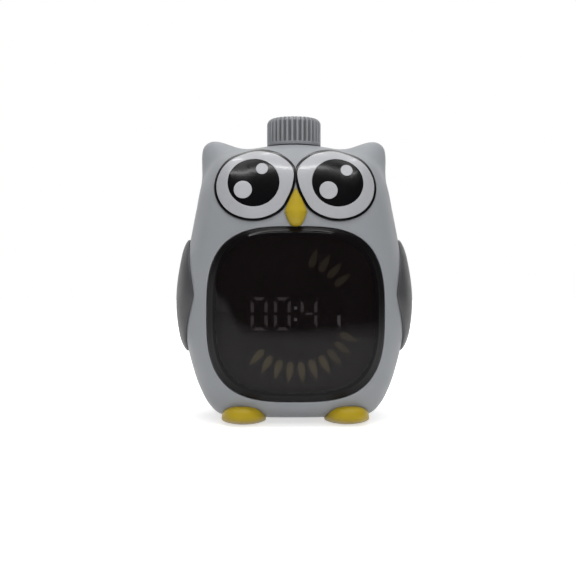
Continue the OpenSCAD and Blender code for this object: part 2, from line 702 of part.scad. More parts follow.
module knob() {
    color("#77797d") translate([0, part_y, 0]) difference() {
        union() {
            rotate_extrude($fn = 96) knob_section(rib_depth);
            intersection() {
                rotate_extrude($fn = 96) knob_section(0);
                union() {
                    translate([0, 0, knob_base]) cylinder(r = knob_d, h = 1);
                    for (i = [0:knob_ribs - 1]) rotate(rib_turn + 360 / knob_ribs * i)
                        translate([knob_d / 2 - 3.4, -0.5, knob_base]) cube([4, 1, 20]);
                }
            }
            translate([0, 0, 104.4]) cylinder(r = stem_r, h = 8);
        }
        difference() {
            translate([0, 0, knob_base - 1]) cylinder(r = 8.6, h = 4);
            translate([0, 0, knob_base - 2]) cylinder(r = stem_r, h = 6);
        }
        d_shaft(shaft_r + 0.03, 100, 117, 0.03);
    }
}

// Round bar with a flat along one side
module d_shaft(r, z0, z1, grow = 0) {
    difference() {
        translate([0, 0, z0]) cylinder(r = r, h = z1 - z0);
        translate([1.5 + grow, -5, z0 - 1]) cube([5, 10, z1 - z0 + 2]);
    }
}

module knob_collar() {
    color("#8d9196") translate([0, part_y, 0]) difference() {
        union() {
            translate([0, 0, 105]) cylinder(r = 8.6, h = 4);
            translate([0, 0, 103.6]) cylinder(r = 10.8, h = 1.5);
        }
        translate([0, 0, 100]) cylinder(r = stem_r + running_fit, h = 12);
    }
}

// Lower end of the shaft, with two flats that turn the rotor
module shaft_key(r, half, z0, z1) {
    intersection() {
        translate([0, 0, z0]) cylinder(r = r, h = z1 - z0);
        translate([-half, -5, z0]) cube([2 * half, 10, z1 - z0]);
    }
}

module encoder_shaft() {
    color(metal) translate([0, part_y, 0]) {
        d_shaft(shaft_r, 104, 116.8);
        translate([0, 0, 92]) cylinder(r = shaft_r, h = 12.1);
        shaft_key(2.4, 1.8, encoder_z + 1.6, 92.1);
    }
}

module encoder_rotor() {
    color("#d8d4c8") translate([0, part_y, 0]) difference() {
        translate([0, 0, encoder_z + 2.6]) cylinder(r = 4.9, h = 2.8);
        shaft_key(2.46, 1.86, encoder_z, 94);
    }
}

module encoder_body() {
    color("#8f9499") translate([0, part_y, 0]) difference() {
        union() {
            translate([-6.2, -6.7, encoder_z]) cube([12.4, 13.4, encoder_h]);
            translate([0, 0, encoder_z + encoder_h - 0.1]) cylinder(r = 4.5, h = 7);
        }
        translate([0, 0, encoder_z - 1]) cylinder(r = 3.4, h = 5);
        translate([0, 0, encoder_z + 2.4]) cylinder(r = 5.2, h = 3.2);
        translate([0, 0, encoder_z]) cylinder(r = shaft_r + running_fit, h = 20);
    }
}

module dome_switch() {
    color(metal) translate([0, part_y, encoder_z]) cylinder(r = 2.6, h = 0.8);
}

module encoder_board() {
    color(board_green) difference() {
        block(-16, 16, -11, 10, encoder_z - board_t, encoder_z);
        sides() bar_z(board_screw_d / 2 + 0.15, encoder_post[0], encoder_post[1],
            encoder_z - 3, encoder_z + 1);
    }
}

cell_z0 = bay_z - bay_h / 2 + 2.6;

// Three cells side by side, the middle one turned over
module battery_cells() {
    nub = 1.2;
    color("#5d6f85") for (k = [-1:1]) translate([k * (cell_d + 1), cell_y, cell_z0 + cell_l / 2])
        rotate([k == 0 ? 180 : 0, 0, 0]) translate([0, 0, -cell_l / 2]) {
            cylinder(r = cell_d / 2, h = cell_l - nub);
            cylinder(r = 1.9, h = cell_l);
        }
}

// Contact plate with a sprung tongue that meets the end of a cell
module contact(x0, x1, z, s) {
    block(x0, x1, cell_y - 4, cell_y + 3.6, z - 0.2, z + 0.2);
    for (x = [x0 + 4, x1 - 4]) translate([x, cell_y, min(z, z + s)]) cylinder(r = 1.6, h = abs(s));
}

module lower_contacts() {
    z = bay_z - bay_h / 2 + 0.25;
    color(metal) {
        contact(-15.4, 4, z, 2.25);
        contact(7.4, 15.4, z, 2.25);
    }
}

module upper_contacts() {
    z = bay_z + bay_h / 2 - 0.25;
    color(metal) {
        contact(-15.4, -7.4, z, -3);
        contact(-4, 15.4, z, -3);
    }
}

module switch_board() {
    y1 = switch_board_y + switch_board_t;
    color(board_green) difference() {
        union() {
            block(-22, 22, switch_board_y, y1, switch_z - 6, switch_z + 5);
            block(-7, 7, switch_board_y, y1, switch_z + 4, buzzer_z + 7);
        }
        sides() bar_y(board_screw_d / 2 + 0.15, 19, switch_z, switch_board_y - 1, y1 + 1);
        bar_y(1.5, 0, buzzer_z, switch_board_y - 1, y1 + 1);
    }
}

module buzzer() {
    color(black) difference() {
        bar_y(6, 0, buzzer_z, switch_board_y - 7, switch_board_y);
        bar_y(1.3, 0, buzzer_z, switch_board_y - 2, switch_board_y + 1);
    }
}

module switch_case_at(x) {
    y0 = switch_board_y + switch_board_t;
    color(metal) difference() {
        block(x - switch_case[0] / 2, x + switch_case[0] / 2, y0, y0 + switch_case[1],
            switch_z - switch_case[2] / 2, switch_z + switch_case[2] / 2);
        block(x - switch_case[0] / 2 + 0.6, x + switch_case[0] / 2 - 0.6,
            y0 + 1.2, y0 + switch_case[1] - 0.6,
            switch_z - switch_case[2] / 2 + 0.6, switch_z + switch_case[2] / 2 - 0.6);
        block(x - slider_nub[0] / 2 - switch_travel - 0.3, x + slider_nub[0] / 2 + switch_travel + 0.3,
            y0 + 2, y0 + 6, switch_z - slider_nub[1] / 2 - 0.2, switch_z + slider_nub[1] / 2 + 0.2);
    }
}

// Slider: a block inside the case and a nub that reaches out through the shell
module slider_at(x) {
    y0 = switch_board_y + switch_board_t;
    tip = back_end([x, switch_z], 0) + 1.15;
    color(black) {
        block(x - 2.2, x + 2.2, y0 + 1.4, y0 + switch_case[1] - 0.9, switch_z - 1.6, switch_z + 1.6);
        block(x - slider_nub[0] / 2, x + slider_nub[0] / 2, y0 + 3, tip,
            switch_z - slider_nub[1] / 2, switch_z + slider_nub[1] / 2);
    }
}

module volume_switch_case() {
    switch_case_at(-switch_x);
}

module volume_slider() {
    slider_at(-switch_x);
}

module power_switch_case() {
    switch_case_at(switch_x);
}

module power_slider() {
    slider_at(switch_x - switch_travel);
}

front_shell();
rear_shell();
display_window();
window_gasket();
beak();
left_eye_plate();
right_eye_plate();
left_eye_white();
right_eye_white();
eye_glints();
left_wing();
right_wing();
left_foot();
right_foot();
light_frame();
petal_diffusers();
digit_housing();
digit_segments();
petal_leds();
main_board();
main_chip();
board_screws();
knob();
knob_collar();
encoder_shaft();
encoder_rotor();
encoder_body();
dome_switch();
encoder_board();
encoder_screws();
battery_door();
battery_cells();
lower_contacts();
upper_contacts();
switch_board();
switch_board_screws();
buzzer();
volume_switch_case();
volume_slider();
power_switch_case();
power_slider();
case_screws();
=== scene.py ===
from math import asin, atan2, cos, degrees, exp, hypot, pi, radians, sin

import bmesh
import bpy
from mathutils import Matrix, Vector


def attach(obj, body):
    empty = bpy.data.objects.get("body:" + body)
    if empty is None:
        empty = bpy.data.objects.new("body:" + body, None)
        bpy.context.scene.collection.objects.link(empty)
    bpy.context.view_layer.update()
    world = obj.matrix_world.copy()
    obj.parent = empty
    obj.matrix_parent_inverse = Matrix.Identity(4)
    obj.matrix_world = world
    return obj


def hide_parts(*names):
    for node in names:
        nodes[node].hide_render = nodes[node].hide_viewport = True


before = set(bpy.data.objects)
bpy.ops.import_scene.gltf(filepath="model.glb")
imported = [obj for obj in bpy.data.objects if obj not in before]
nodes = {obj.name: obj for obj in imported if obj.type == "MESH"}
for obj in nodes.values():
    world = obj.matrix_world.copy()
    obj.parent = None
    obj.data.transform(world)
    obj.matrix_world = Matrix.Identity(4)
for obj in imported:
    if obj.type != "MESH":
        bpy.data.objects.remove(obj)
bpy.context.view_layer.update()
print("frame loaded:", len(nodes), "nodes")

# The photograph's frame: the camera stands a little to the left, level with the timer's middle
cameraSetup = {"turn": 1.3, "away": 416, "height": 52, "lens": 64, "shift": -6 / 576}


def addCamera():
    turn = radians(cameraSetup["turn"])
    away = cameraSetup["away"] / 1000
    data = bpy.data.cameras.new("camera")
    data.lens = cameraSetup["lens"]
    data.sensor_width = 36
    data.shift_x = cameraSetup["shift"]
    data.clip_start = 0.01
    holder = bpy.data.objects.new("camera", data)
    holder.location = (-away * sin(turn), -away * cos(turn), cameraSetup["height"] / 1000)
    holder.rotation_euler = (pi / 2, 0, -turn)
    bpy.context.scene.collection.objects.link(holder)
    bpy.context.scene.camera = holder


addCamera()
bpy.context.scene.view_settings.view_transform = "Standard"

# The body's form: a polar outline round its middle, as angle and radius, swept to front and back as
# a squared round. The crown, side and base are how square the round is there.
body = {
    "middle": 42.2,
    "parting": 2,
    "front": 36.5,
    "rear": 34,
    "wall": 2,
    "seamGap": 0.2,
    "outline": [(-90, 40.3), (-72, 42.3), (-60, 46.4), (-53, 49.2), (-46, 49.1), (-38, 47.6),
                (-24, 45.2), (-8, 44.3), (8, 45), (24, 47.3), (36, 51.1), (46, 56.6), (56, 64.7), (64, 69.5),
                (72, 67.8), (81, 67.5), (90, 66.3)],
    "crown": 2.8,
    "side": 3.2,
    "base": 7,
    "earAngle": 61.8,
    "earOut": 4.8,
    "earIn": 8.8,
    "earRise": 7.9,
    "earY": 2.5,
    "earDepth": 8.5,
    "seat": 108.95,
    "seatR": 10.5,
    "seatFall": 0.055,
    "seatBack": 0.35,
    "seatBlend": (0.6, 0.09),
    "innerEar": 0.75,
    "neckR": 8.75,
    "neck": (98, 125),
}
midZ, seamY = body["middle"], body["parting"]


def knot(i):
    points = body["outline"]
    last = len(points) - 1
    if i < 0:
        return -180 - points[1][0], points[1][1]
    if i > last:
        return 180 - points[last - 1][0], points[last - 1][1]
    return points[i]


def outlineR(a):  # radius of the outline at an angle, a smooth curve through its points
    points = body["outline"]
    i = 0
    while i < len(points) - 2 and a >= points[i + 1][0]:
        i += 1
    (a0, r0), (a1, r1) = points[i], points[i + 1]
    before, after = knot(i - 1), knot(i + 2)
    h = a1 - a0
    t = (a - a0) / h
    m = (r1 - before[1]) / (a1 - before[0]) * h
    k = (after[1] - r0) / (after[0] - a0) * h
    return ((2 * t ** 3 - 3 * t ** 2 + 1) * r0 + (t ** 3 - 2 * t ** 2 + t) * m
            + (3 * t ** 2 - 2 * t ** 3) * r1 + (t ** 3 - t ** 2) * k)


def fold(t):
    return degrees(atan2(sin(radians(t)), abs(cos(radians(t)))))


def squareness(a):
    s = sin(radians(a))
    if a > 0:
        return body["side"] + (body["crown"] - body["side"]) * s ** 2
    return body["side"] + (body["base"] - body["side"]) * s ** 4


def earLift(a, y):
    wide = body["earOut"] if a < body["earAngle"] else body["earIn"]
    return (body["earRise"] * exp(-((a - body["earAngle"]) / wide) ** 2)
            * exp(-(abs(y - body["earY"]) / body["earDepth"]) ** 3))


def ray(t, r, y):
    return r * cos(radians(t)), y, midZ + r * sin(radians(t))


def skin(t, f, inset=0):  # f is 0 in front, 90 at the seam and 180 behind
    a = fold(t)
    n = squareness(a)
    deep = body["front"] if f <= 90 else body["rear"]
    side = -1 if f <= 90 else 1
    y = seamY + side * (deep - inset) * abs(cos(radians(f))) ** (2 / n)
    lift = earLift(a, y) * (body["innerEar"] if inset else 1)
    x, y, z = ray(t, (outlineR(a) - inset + lift) * sin(radians(f)) ** (2 / n), y)
    return x, y, crownZ(x, y, z, inset) if t > 0 and t < 180 else z


def crownZ(x, y, z, inset):  # the crown rises softly to a low round seat under the knob
    p = hypot(x, y - seamY)
    if p > 2 * body["seatR"]:
        return z
    back = body["seatBack"] * max(0, y - seamY) / max(1, p)
    seat = body["seat"] - body["seatFall"] * (1 + back) * max(0, p - body["seatR"]) ** 2 - inset
    reach, rise = body["seatBlend"]
    return max(z, seat) + (max(0, reach - abs(z - seat)) / reach) ** 2 * rise


def skinF(t, r, inset=0):  # the depth angle at which the skin passes a radius
    a = fold(t)
    return degrees(asin(min(1, r / (outlineR(a) - inset)) ** (squareness(a) / 2)))


def skinY(t, r):
    return skin(t, skinF(t, r))[1]


def shrink(a, y):
    n = squareness(a)
    deep = body["front"] if y < seamY else body["rear"]
    return max(0, 1 - (abs(y - seamY) / deep) ** n) ** (1 / n)


def faceY(x, z):  # depth of the front skin over a point of the face
    y = -30
    a = fold(degrees(atan2(z - midZ, x)))
    n = squareness(a)
    for step in range(6):
        r = hypot(x, z - midZ) / (outlineR(a) + earLift(a, y))
        y = seamY - body["front"] * max(0, 1 - r ** n) ** (1 / n)
    return y


def sideX(y, z):  # half width of the skin at a depth and a height
    x = 44
    for step in range(8):
        a = degrees(atan2(z - midZ, x))
        r = (outlineR(a) + earLift(a, y)) * shrink(a, y)
        x = max(1, r ** 2 - (z - midZ) ** 2) ** 0.5
    return x


def underZ(x, y):  # height of the underside
    z = 3
    for step in range(8):
        a = degrees(atan2(z - midZ, abs(x)))
        d = (outlineR(a) * shrink(a, y)) ** 2 - x ** 2
        z = midZ - d ** 0.5 if d > 0 else midZ
    return z


def clamp(share):
    return max(0, min(1, share))


def squared(t, w, h, n):  # radius of a squared ellipse at an angle
    return ((abs(cos(radians(t))) / w) ** n + (abs(sin(radians(t))) / h) ** n) ** (-1 / n)


def turnAngles(fine):  # angles round the body, closer together at the corners and the ears
    stops = ([-90 + 6 * i for i in range(5)] + [-60 + 30 / 7 * i for i in range(7)]
             + [-30 + 7.5 * i for i in range(8)] + [30 + 2.8125 * i for i in range(16)]
             + [75 + 5 * i for i in range(3)] + [90])
    half = [a + (b - a) * k / fine for a, b in zip(stops, stops[1:]) for k in range(fine)]
    return half + [90] + [180 - a for a in reversed(half[1:])]


def linear(r, g, b):  # a colour given as it looks on a screen, 0 to 255
    return tuple(((c / 255 + 0.055) / 1.055) ** 2.4 if c > 10 else c / 3295 for c in (r, g, b)) + (1,)


def shade(colour, by):
    return tuple(min(1, c * by) for c in colour[:3]) + (1,)


# Each finish: colour, roughness and how far it varies (polish), gloss (spec), drift of the colour and
# the size of its patches, and the grain's size and depth; "plain" has what a finish leaves out.
# A glowing piece has its colour times rim at the edge and times heart inside.
plain = {"rough": 0.5, "spec": 0.4, "drift": 0.03, "patch": 9, "grain": 0.2, "depth": 0.01, "polish": 0.05,
         "metal": 0, "coat": 0, "coatRough": 0.14, "bump": 0.6, "wipe": 0.35, "rim": 0.12, "heart": 1.05}
metal = {"spec": 0.5, "polish": 0.08, "metal": 1}
finishes = {
    "shell": {"colour": (153, 156, 160), "rough": 0.46, "drift": 0.025, "patch": 22, "grain": 0.22,
              "depth": 0.012},
    "knob": {"colour": (155, 157, 161), "spec": 0.35},
    "collar": {"colour": (120, 122, 126), "spec": 0.35},
    "wing": {"colour": (74, 74, 76), "rough": 0.42, "patch": 15, "grain": 0.22, "depth": 0.012},
    "beak": {"colour": (182, 157, 36), "rough": 0.38, "spec": 0.35, "patch": 6, "depth": 0.006},
    "foot": {"colour": (182, 156, 28), "rough": 0.42, "spec": 0.35, "patch": 12, "grain": 0.25},
    "eyeBlack": {"colour": (12, 12, 14), "rough": 0.24, "spec": 0.3, "drift": 0.05, "patch": 10,
                 "grain": 0.5, "depth": 0.002, "polish": 0.03, "coat": 0.1},
    "eyeSilver": {"colour": (174, 175, 179), "rough": 0.34, "drift": 0.012, "grain": 0.1,
                  "depth": 0.0012, "polish": 0.03, "coat": 0.6},
    "glint": {"colour": (180, 181, 185), "rough": 0.35, "patch": 2, "grain": 0.12, "depth": 0.002},
    "blackPlastic": {"colour": (16, 16, 17), "rough": 0.6, "spec": 0.3, "drift": 0.08, "patch": 8,
                     "polish": 0.08},
    "foam": {"colour": (18, 18, 18), "rough": 0.85, "spec": 0.2, "drift": 0.1, "patch": 3, "grain": 0.3,
             "depth": 0.05},
    "slider": {"colour": (30, 30, 32), "rough": 0.45, "drift": 0.05, "patch": 3, "depth": 0.008,
               "polish": 0.06},
    "cream": {"colour": (216, 212, 200), "patch": 4, "depth": 0.008},
    "board": {"colour": (30, 96, 62), "rough": 0.3, "spec": 0.5, "drift": 0.12, "patch": 5, "grain": 0.4,
              "polish": 0.06},
    "ledResin": {"colour": (226, 214, 158), "rough": 0.25, "spec": 0.5, "drift": 0.05, "patch": 1,
                 "depth": 0.004},
    "petalOff": {"colour": (22, 21, 18), "rough": 0.55, "spec": 0.3, "drift": 0.08, "patch": 3,
                 "depth": 0.006},
    "segmentOff": {"colour": (12, 11, 11), "rough": 0.6, "spec": 0.2, "drift": 0.08, "patch": 3,
                   "depth": 0.006},
    "steel": {**metal, "colour": (186, 188, 192), "rough": 0.28, "drift": 0.05, "patch": 2,
              "grain": 0.3, "depth": 0.004},
    "tin": {**metal, "colour": (164, 168, 174), "rough": 0.36, "drift": 0.06, "patch": 4,
            "grain": 0.5, "depth": 0.006},
    "nickel": {**metal, "colour": (196, 194, 188), "rough": 0.3, "drift": 0.06, "patch": 4,
               "grain": 0.4, "depth": 0.006},
}


def feed(tree, node, values):  # each value is a number, a colour or the output of another node
    for name, value in values.items():
        if isinstance(value, bpy.types.NodeSocket):
            tree.links.new(value, node.inputs[name])
        else:
            node.inputs[name].default_value = value


def addNode(tree, kind, values={}, **settings):  # returns the new node's outputs
    node = tree.nodes.new("ShaderNode" + kind)
    for name, value in settings.items():
        setattr(node, name, value)
    feed(tree, node, values)
    return node.outputs


def newMaterial(name):
    mat = bpy.data.materials.new(name)
    mat.use_nodes = True
    return mat, mat.node_tree, mat.node_tree.nodes["Principled BSDF"]


def noise(tree, spots, size, detail):  # size is the pattern's grain in millimetres
    return addNode(tree, "TexNoise", {"Vector": spots, "Scale": 1000 / size, "Detail": detail,
                                      "Roughness": 0.5})["Fac"]


def stretch(tree, source, low, high, fromLow=0.3, fromHigh=0.7):
    return addNode(tree, "MapRange", {"Value": source, "From Min": fromLow, "From Max": fromHigh,
                                      "To Min": low, "To Max": high})["Result"]


def attribute(tree, name):
    return addNode(tree, "Attribute", attribute_name=name)["Fac"]


def mixColour(tree, factor, a, b):
    return addNode(tree, "Mix", {"Factor": factor, "A": a, "B": b}, data_type="RGBA")["Result"]


def makeFinish(name, glow=None, alpha=None):
    spec = {**plain, **finishes[name]}
    mat, tree, shader = newMaterial(name)
    spots = addNode(tree, "TexCoord")["Object"]
    colour = linear(*spec["colour"])
    dark, pale = shade(colour, 1 - spec["drift"]), shade(colour, 1 + spec["drift"])
    spread = stretch(tree, noise(tree, spots, spec["patch"], 4), 0, 1)
    wipe = noise(tree, spots, spec["patch"] * spec["wipe"], 3)
    grain = noise(tree, spots, spec["grain"], 2)
    bump = addNode(tree, "Bump", {"Height": grain, "Strength": spec["bump"],
                                  "Distance": spec["depth"] / 1000})
    feed(tree, shader, {
        "Base Color": mixColour(tree, spread, dark, pale),
        "Roughness": stretch(tree, wipe, spec["rough"] - spec["polish"], spec["rough"] + spec["polish"]),
        "Normal": bump["Normal"], "Specular IOR Level": spec["spec"], "Metallic": spec["metal"]})
    if spec["coat"]:
        feed(tree, shader, {"Coat Weight": spec["coat"], "Coat Roughness": spec["coatRough"]})
    if glow:
        rim, heart = (shade(linear(*glow), spec[part]) for part in ("rim", "heart"))
        lit = mixColour(tree, attribute(tree, "glow"), rim, heart)
        feed(tree, shader, {"Emission Color": lit, "Emission Strength": 1})
    if alpha is not None:
        feed(tree, shader, {"Alpha": alpha})
    return mat


def tintOver(mat, factor, colour):  # lays a colour over a finish where the factor is 1
    tree = mat.node_tree
    base = tree.nodes["Principled BSDF"].inputs["Base Color"]
    tree.links.new(mixColour(tree, factor, base.links[0].from_socket, linear(*colour)), base)
    return mat


materials = {name: makeFinish(name) for name in finishes}
print("finishes made:", len(materials))


def vertsOf(made):
    return [g for g in made if isinstance(g, bmesh.types.BMVert)]


def place(verts, points):
    for v, p in zip(verts, points):
        v.co = p


# A form drawn through rings of equal length: the first ring is a circle, and each next one is
# extruded from it. A closed form ends where it began, and a tip closes a ring to a point.
def loft(rings, closed=False, tips=(None, None)):
    bm = bmesh.new()
    bmesh.ops.create_circle(bm, segments=len(rings[0]), radius=1)
    first = bm.verts[:]
    firstEdges = bm.edges[:]
    place(first, rings[0])
    ring, edges = first, firstEdges
    for points in rings[1:]:
        ring, edges = nextRing(bm, ring, edges)
        place(ring, points)
    if closed:
        last, edges = nextRing(bm, ring, edges)
        bmesh.ops.weld_verts(bm, targetmap=dict(zip(last, first)))
    for tip, rim in zip(tips, (firstEdges, edges)):
        if tip is not None:
            made = bmesh.ops.extrude_edge_only(bm, edges=rim)["geom"]
            bmesh.ops.pointmerge(bm, verts=vertsOf(made), merge_co=tip)
    bmesh.ops.recalc_face_normals(bm, faces=bm.faces)
    return bm


def nextRing(bm, ring, edges):
    made = bmesh.ops.extrude_edge_only(bm, edges=edges)["geom"]
    fresh = set(vertsOf(made))
    follow = [next(e.other_vert(v) for e in v.link_edges if e.other_vert(v) in fresh) for v in ring]
    rim = [g for g in made if isinstance(g, bmesh.types.BMEdge) and g.verts[0] in fresh
           and g.verts[1] in fresh]
    return follow, rim


def hold(bm, name):  # an object that holds the finished mesh
    mesh = bpy.data.meshes.new(name)
    bm.to_mesh(mesh)
    bm.free()
    holder = bpy.data.objects.new(name, mesh)
    bpy.context.scene.collection.objects.link(holder)
    return holder


def toMesh(bm, name, sharp=38):  # a smooth-shaded object, from millimetres to metres
    bmesh.ops.scale(bm, vec=(0.001, 0.001, 0.001), verts=bm.verts)
    holder = hold(bm, name)
    soften(holder, sharp)
    return holder


def soften(holder, sharp=38):
    holder.data.polygons.foreach_set("use_smooth", [True] * len(holder.data.polygons))
    holder.data.set_sharp_from_angle(angle=radians(sharp))


def dress(holder, finish, bodyName, replaced):
    holder.data.materials.clear()
    holder.data.materials.append(materials[finish] if isinstance(finish, str) else finish)
    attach(holder, bodyName)
    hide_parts(replaced)
    return holder


def dressSide(bm, side, part, finish, node, sharp=38):  # pieces of a pair are built on the right
    if side == "left":
        bmesh.ops.scale(bm, vec=(-1, 1, 1), verts=bm.verts)
        bmesh.ops.recalc_face_normals(bm, faces=bm.faces)
    return dress(toMesh(bm, side + part, sharp), finish, "housing", side + node)


# A flat outline in the face's plane, given as x and height over the body's middle, made solid
def slab(bm, points, y0, y1):
    made = bmesh.ops.create_circle(bm, cap_ends=True, segments=len(points), radius=1)["verts"]
    place(made, [(x, y1, midZ + z) for x, z in points])
    face = next(f for f in made[0].link_faces)
    grown = bmesh.ops.extrude_face_region(bm, geom=[face], use_keep_orig=True)["geom"]
    bmesh.ops.translate(bm, vec=(0, y0 - y1, 0), verts=vertsOf(grown))


# Front shell: the skin from the seam to the window, a small round at the window's edge, the ledge
# that carries the pane, and the inner wall back to the seam
frontShell = {"turns": 4, "rings": 44, "lip": 0.2, "seamRound": 0.3, "windowGap": 0.25,
              "rabbet": 2.2, "ledge": 2.2, "ledgeThick": 1.6, "windowInset": 1.8, "tongue": 1.6,
              "tongueInset": 1, "innerShares": (1, 0.76, 0.52, 0.3, 0.14, 0.05)}
window = {"wide": 67, "high": 65.4, "squareTop": 3.15, "squareLow": 3.05}


def windowR(t, grow=0):
    n = window["squareTop"] if sin(radians(t)) > 0 else window["squareLow"]
    return squared(t, window["wide"] / 2 + grow, window["high"] / 2 + grow, n)


def seamRings(turns, rows):  # rings near the seam, each at a depth and an inset from the outline
    rings = []
    for y, inset in rows:
        ring = []
        for t in turns:
            x, y, z = ray(t, outlineR(fold(t)) + earLift(fold(t), seamY) - inset, y)
            ring.append((x, y, crownZ(x, y, z, inset) if 0 < t < 180 else z))
        rings.append(ring)
    return rings


def onAxis(y):
    return 0, y, midZ


def buildFrontShell():
    f = frontShell
    turns = turnAngles(f["turns"])
    lip = f["lip"]
    gap = f["windowGap"]
    seam = seamY - body["seamGap"] / 2
    edgeF = [skinF(t, windowR(t, gap + lip)) for t in turns]
    rings = seamRings(turns, [(seam, f["seamRound"]), (seam - 0.12, 0.1), (seam - f["seamRound"], 0)])
    for k in range(1, f["rings"] + 1):
        share = (k / f["rings"]) ** 1.5
        rings.append([skin(t, 90 - (90 - e) * share) for t, e in zip(turns, edgeF)])
    for a in (30, 60, 90):
        rings.append([ray(t, windowR(t, gap) + lip * (1 - sin(radians(a))),
                          skinY(t, windowR(t, gap + lip)) + lip * (1 - cos(radians(a)))) for t in turns])
    for step, drop in ((0, f["rabbet"]), (-f["ledge"], f["rabbet"]),
                       (-f["ledge"], f["rabbet"] + f["ledgeThick"])):
        rings.append([ray(t, windowR(t, gap) + step, skinY(t, windowR(t, gap)) + drop) for t in turns])
    innerF = [skinF(t, windowR(t, f["windowInset"]), body["wall"]) for t in turns]
    for share in f["innerShares"]:
        rings.append([skin(t, 90 - (90 - e) * share, body["wall"]) for t, e in zip(turns, innerF)])
    shoulder = seamY - f["tongue"]
    rings += seamRings(turns, [(shoulder, body["wall"]), (shoulder, f["tongueInset"]),
                               (seam, f["tongueInset"])])
    shell = toMesh(loft(rings, closed=True), "front_skin")
    bore(shell, [neckBore()])
    return dress(shell, "shell", "housing", "front_shell")


# Cutters and fittings, as closed objects that a Boolean takes and that are then deleted
def neckBore():
    low, high = body["neck"]
    return tube(body["neckR"], (0, seamY, low), (0, seamY, high), 64)


def tube(r, start, end, count=32):
    bm = bmesh.new()
    start, end = Vector(start), Vector(end)
    way = end - start
    turn = way.to_track_quat("Z", "Y").to_matrix().to_4x4()
    bmesh.ops.create_cone(bm, cap_ends=True, segments=count, radius1=r, radius2=r, depth=way.length,
                          matrix=Matrix.Translation((start + end) / 2) @ turn)
    return toMesh(bm, "cutter")


def brick(low, high):
    bm = bmesh.new()
    bmesh.ops.create_cube(bm, size=1)
    bmesh.ops.scale(bm, vec=[b - a for a, b in zip(low, high)], verts=bm.verts)
    bmesh.ops.translate(bm, vec=[(a + b) / 2 for a, b in zip(low, high)], verts=bm.verts)
    return toMesh(bm, "cutter")


def applyModifiers(holder):
    bpy.context.view_layer.update()
    graph = bpy.context.evaluated_depsgraph_get()
    mesh = bpy.data.meshes.new_from_object(holder.evaluated_get(graph))
    holder.modifiers.clear()
    holder.data = mesh


def bore(holder, cutters, operation="DIFFERENCE"):
    for cutter in cutters:
        tool = holder.modifiers.new("cut", "BOOLEAN")
        tool.operation = operation
        tool.solver = "EXACT"
        tool.object = cutter
    applyModifiers(holder)
    for cutter in cutters:
        bpy.data.objects.remove(cutter)
    soften(holder)


# Rear shell: the skin from the seam to its closed back, with the door's recess and hinge groove, the
# battery bay, the finger notch, the slots of the sliders, the screw bores and the sound holes.
# A slot is half its width, its floor and half its height; a pocket takes one of the door's tabs.
rearShell = {"rings": 46, "seamRound": 0.3, "rebate": 1.4, "rebateInset": 1.1, "past": 45,
             "bayWide": 34.8, "bayHigh": 50.5, "bayMiddle": 38, "bayFloor": 21.3, "bayRim": 32.2,
             "bayWall": 1.7, "rimWide": 1.6, "rimBack": 30.3, "doorWide": 38, "doorHigh": 53.5,
             "doorGap": 0.3, "doorRound": 3, "bead": 1.4, "beadGap": 0.08, "hingeY": 33.6,
             "pocket": (3.1, 28.4, 8.2),
             "notch": {"half": 9, "from": 31.5, "to": 33.4, "over": 7, "r": 5, "y": 39, "long": 7},
             "screws": [(28, 88), (33.6, 18.7)], "screwR": 2.7, "screwSeat": 8,
             "switchX": 11, "switchZ": 76, "slot": (3.9, 26, 1.5),
             "soundZ": 88, "soundR": 0.9, "soundRings": ((0, 1), (3.4, 6), (6.8, 12))}

door = {"soft": 0.35, "front": 32.3, "tabX": (-12, 12), "tabHalf": 2.5, "tabY": (30.85, 31.8),
        "tabZ": (8.8, 11.5, 13.4)}


def doorOutline(grow):
    r = rearShell
    half = r["doorWide"] / 2 + grow
    tall = r["doorHigh"] / 2 + grow
    c = r["doorRound"]
    points = [(-half, -tall), (half, -tall)]
    points += [(half - c + c * cos(radians(a)), tall - c + c * sin(radians(a))) for a in range(0, 91, 9)]
    points += [(-half + c - c * sin(radians(a)), tall - c + c * cos(radians(a))) for a in range(0, 91, 9)]
    shift = r["bayMiddle"] - midZ
    return [(x, z + shift) for x, z in points]


def prism(grow, y0, y1):
    bm = bmesh.new()
    slab(bm, doorOutline(grow), y0, y1)
    bmesh.ops.recalc_face_normals(bm, faces=bm.faces)
    return toMesh(bm, "cutter")


def rearRings(turns, inset=0, count=None):
    count = count or rearShell["rings"]
    shares = [k / count for k in range(1, count)]
    return [[skin(t, 90 + 90 * (3 * u ** 2 - 2 * u ** 3), inset) for t in turns] for u in shares]


def rearForm(fine, inset, count):  # the rear shell's outer form as one solid
    turns = turnAngles(fine)
    rings = [[skin(t, 90) for t in turns]] + rearRings(turns, inset, count)
    return toMesh(loft(rings, tips=[onAxis(seamY), onAxis(seamY + body["rear"])]), "cutter")


def hingeBead(gap, past, count):
    r = rearShell
    z = r["bayMiddle"] - r["doorHigh"] / 2 + r["bead"]
    half = r["doorWide"] / 2 + past
    return tube(r["bead"] + gap, (-half, r["hingeY"], z), (half, r["hingeY"], z), count)


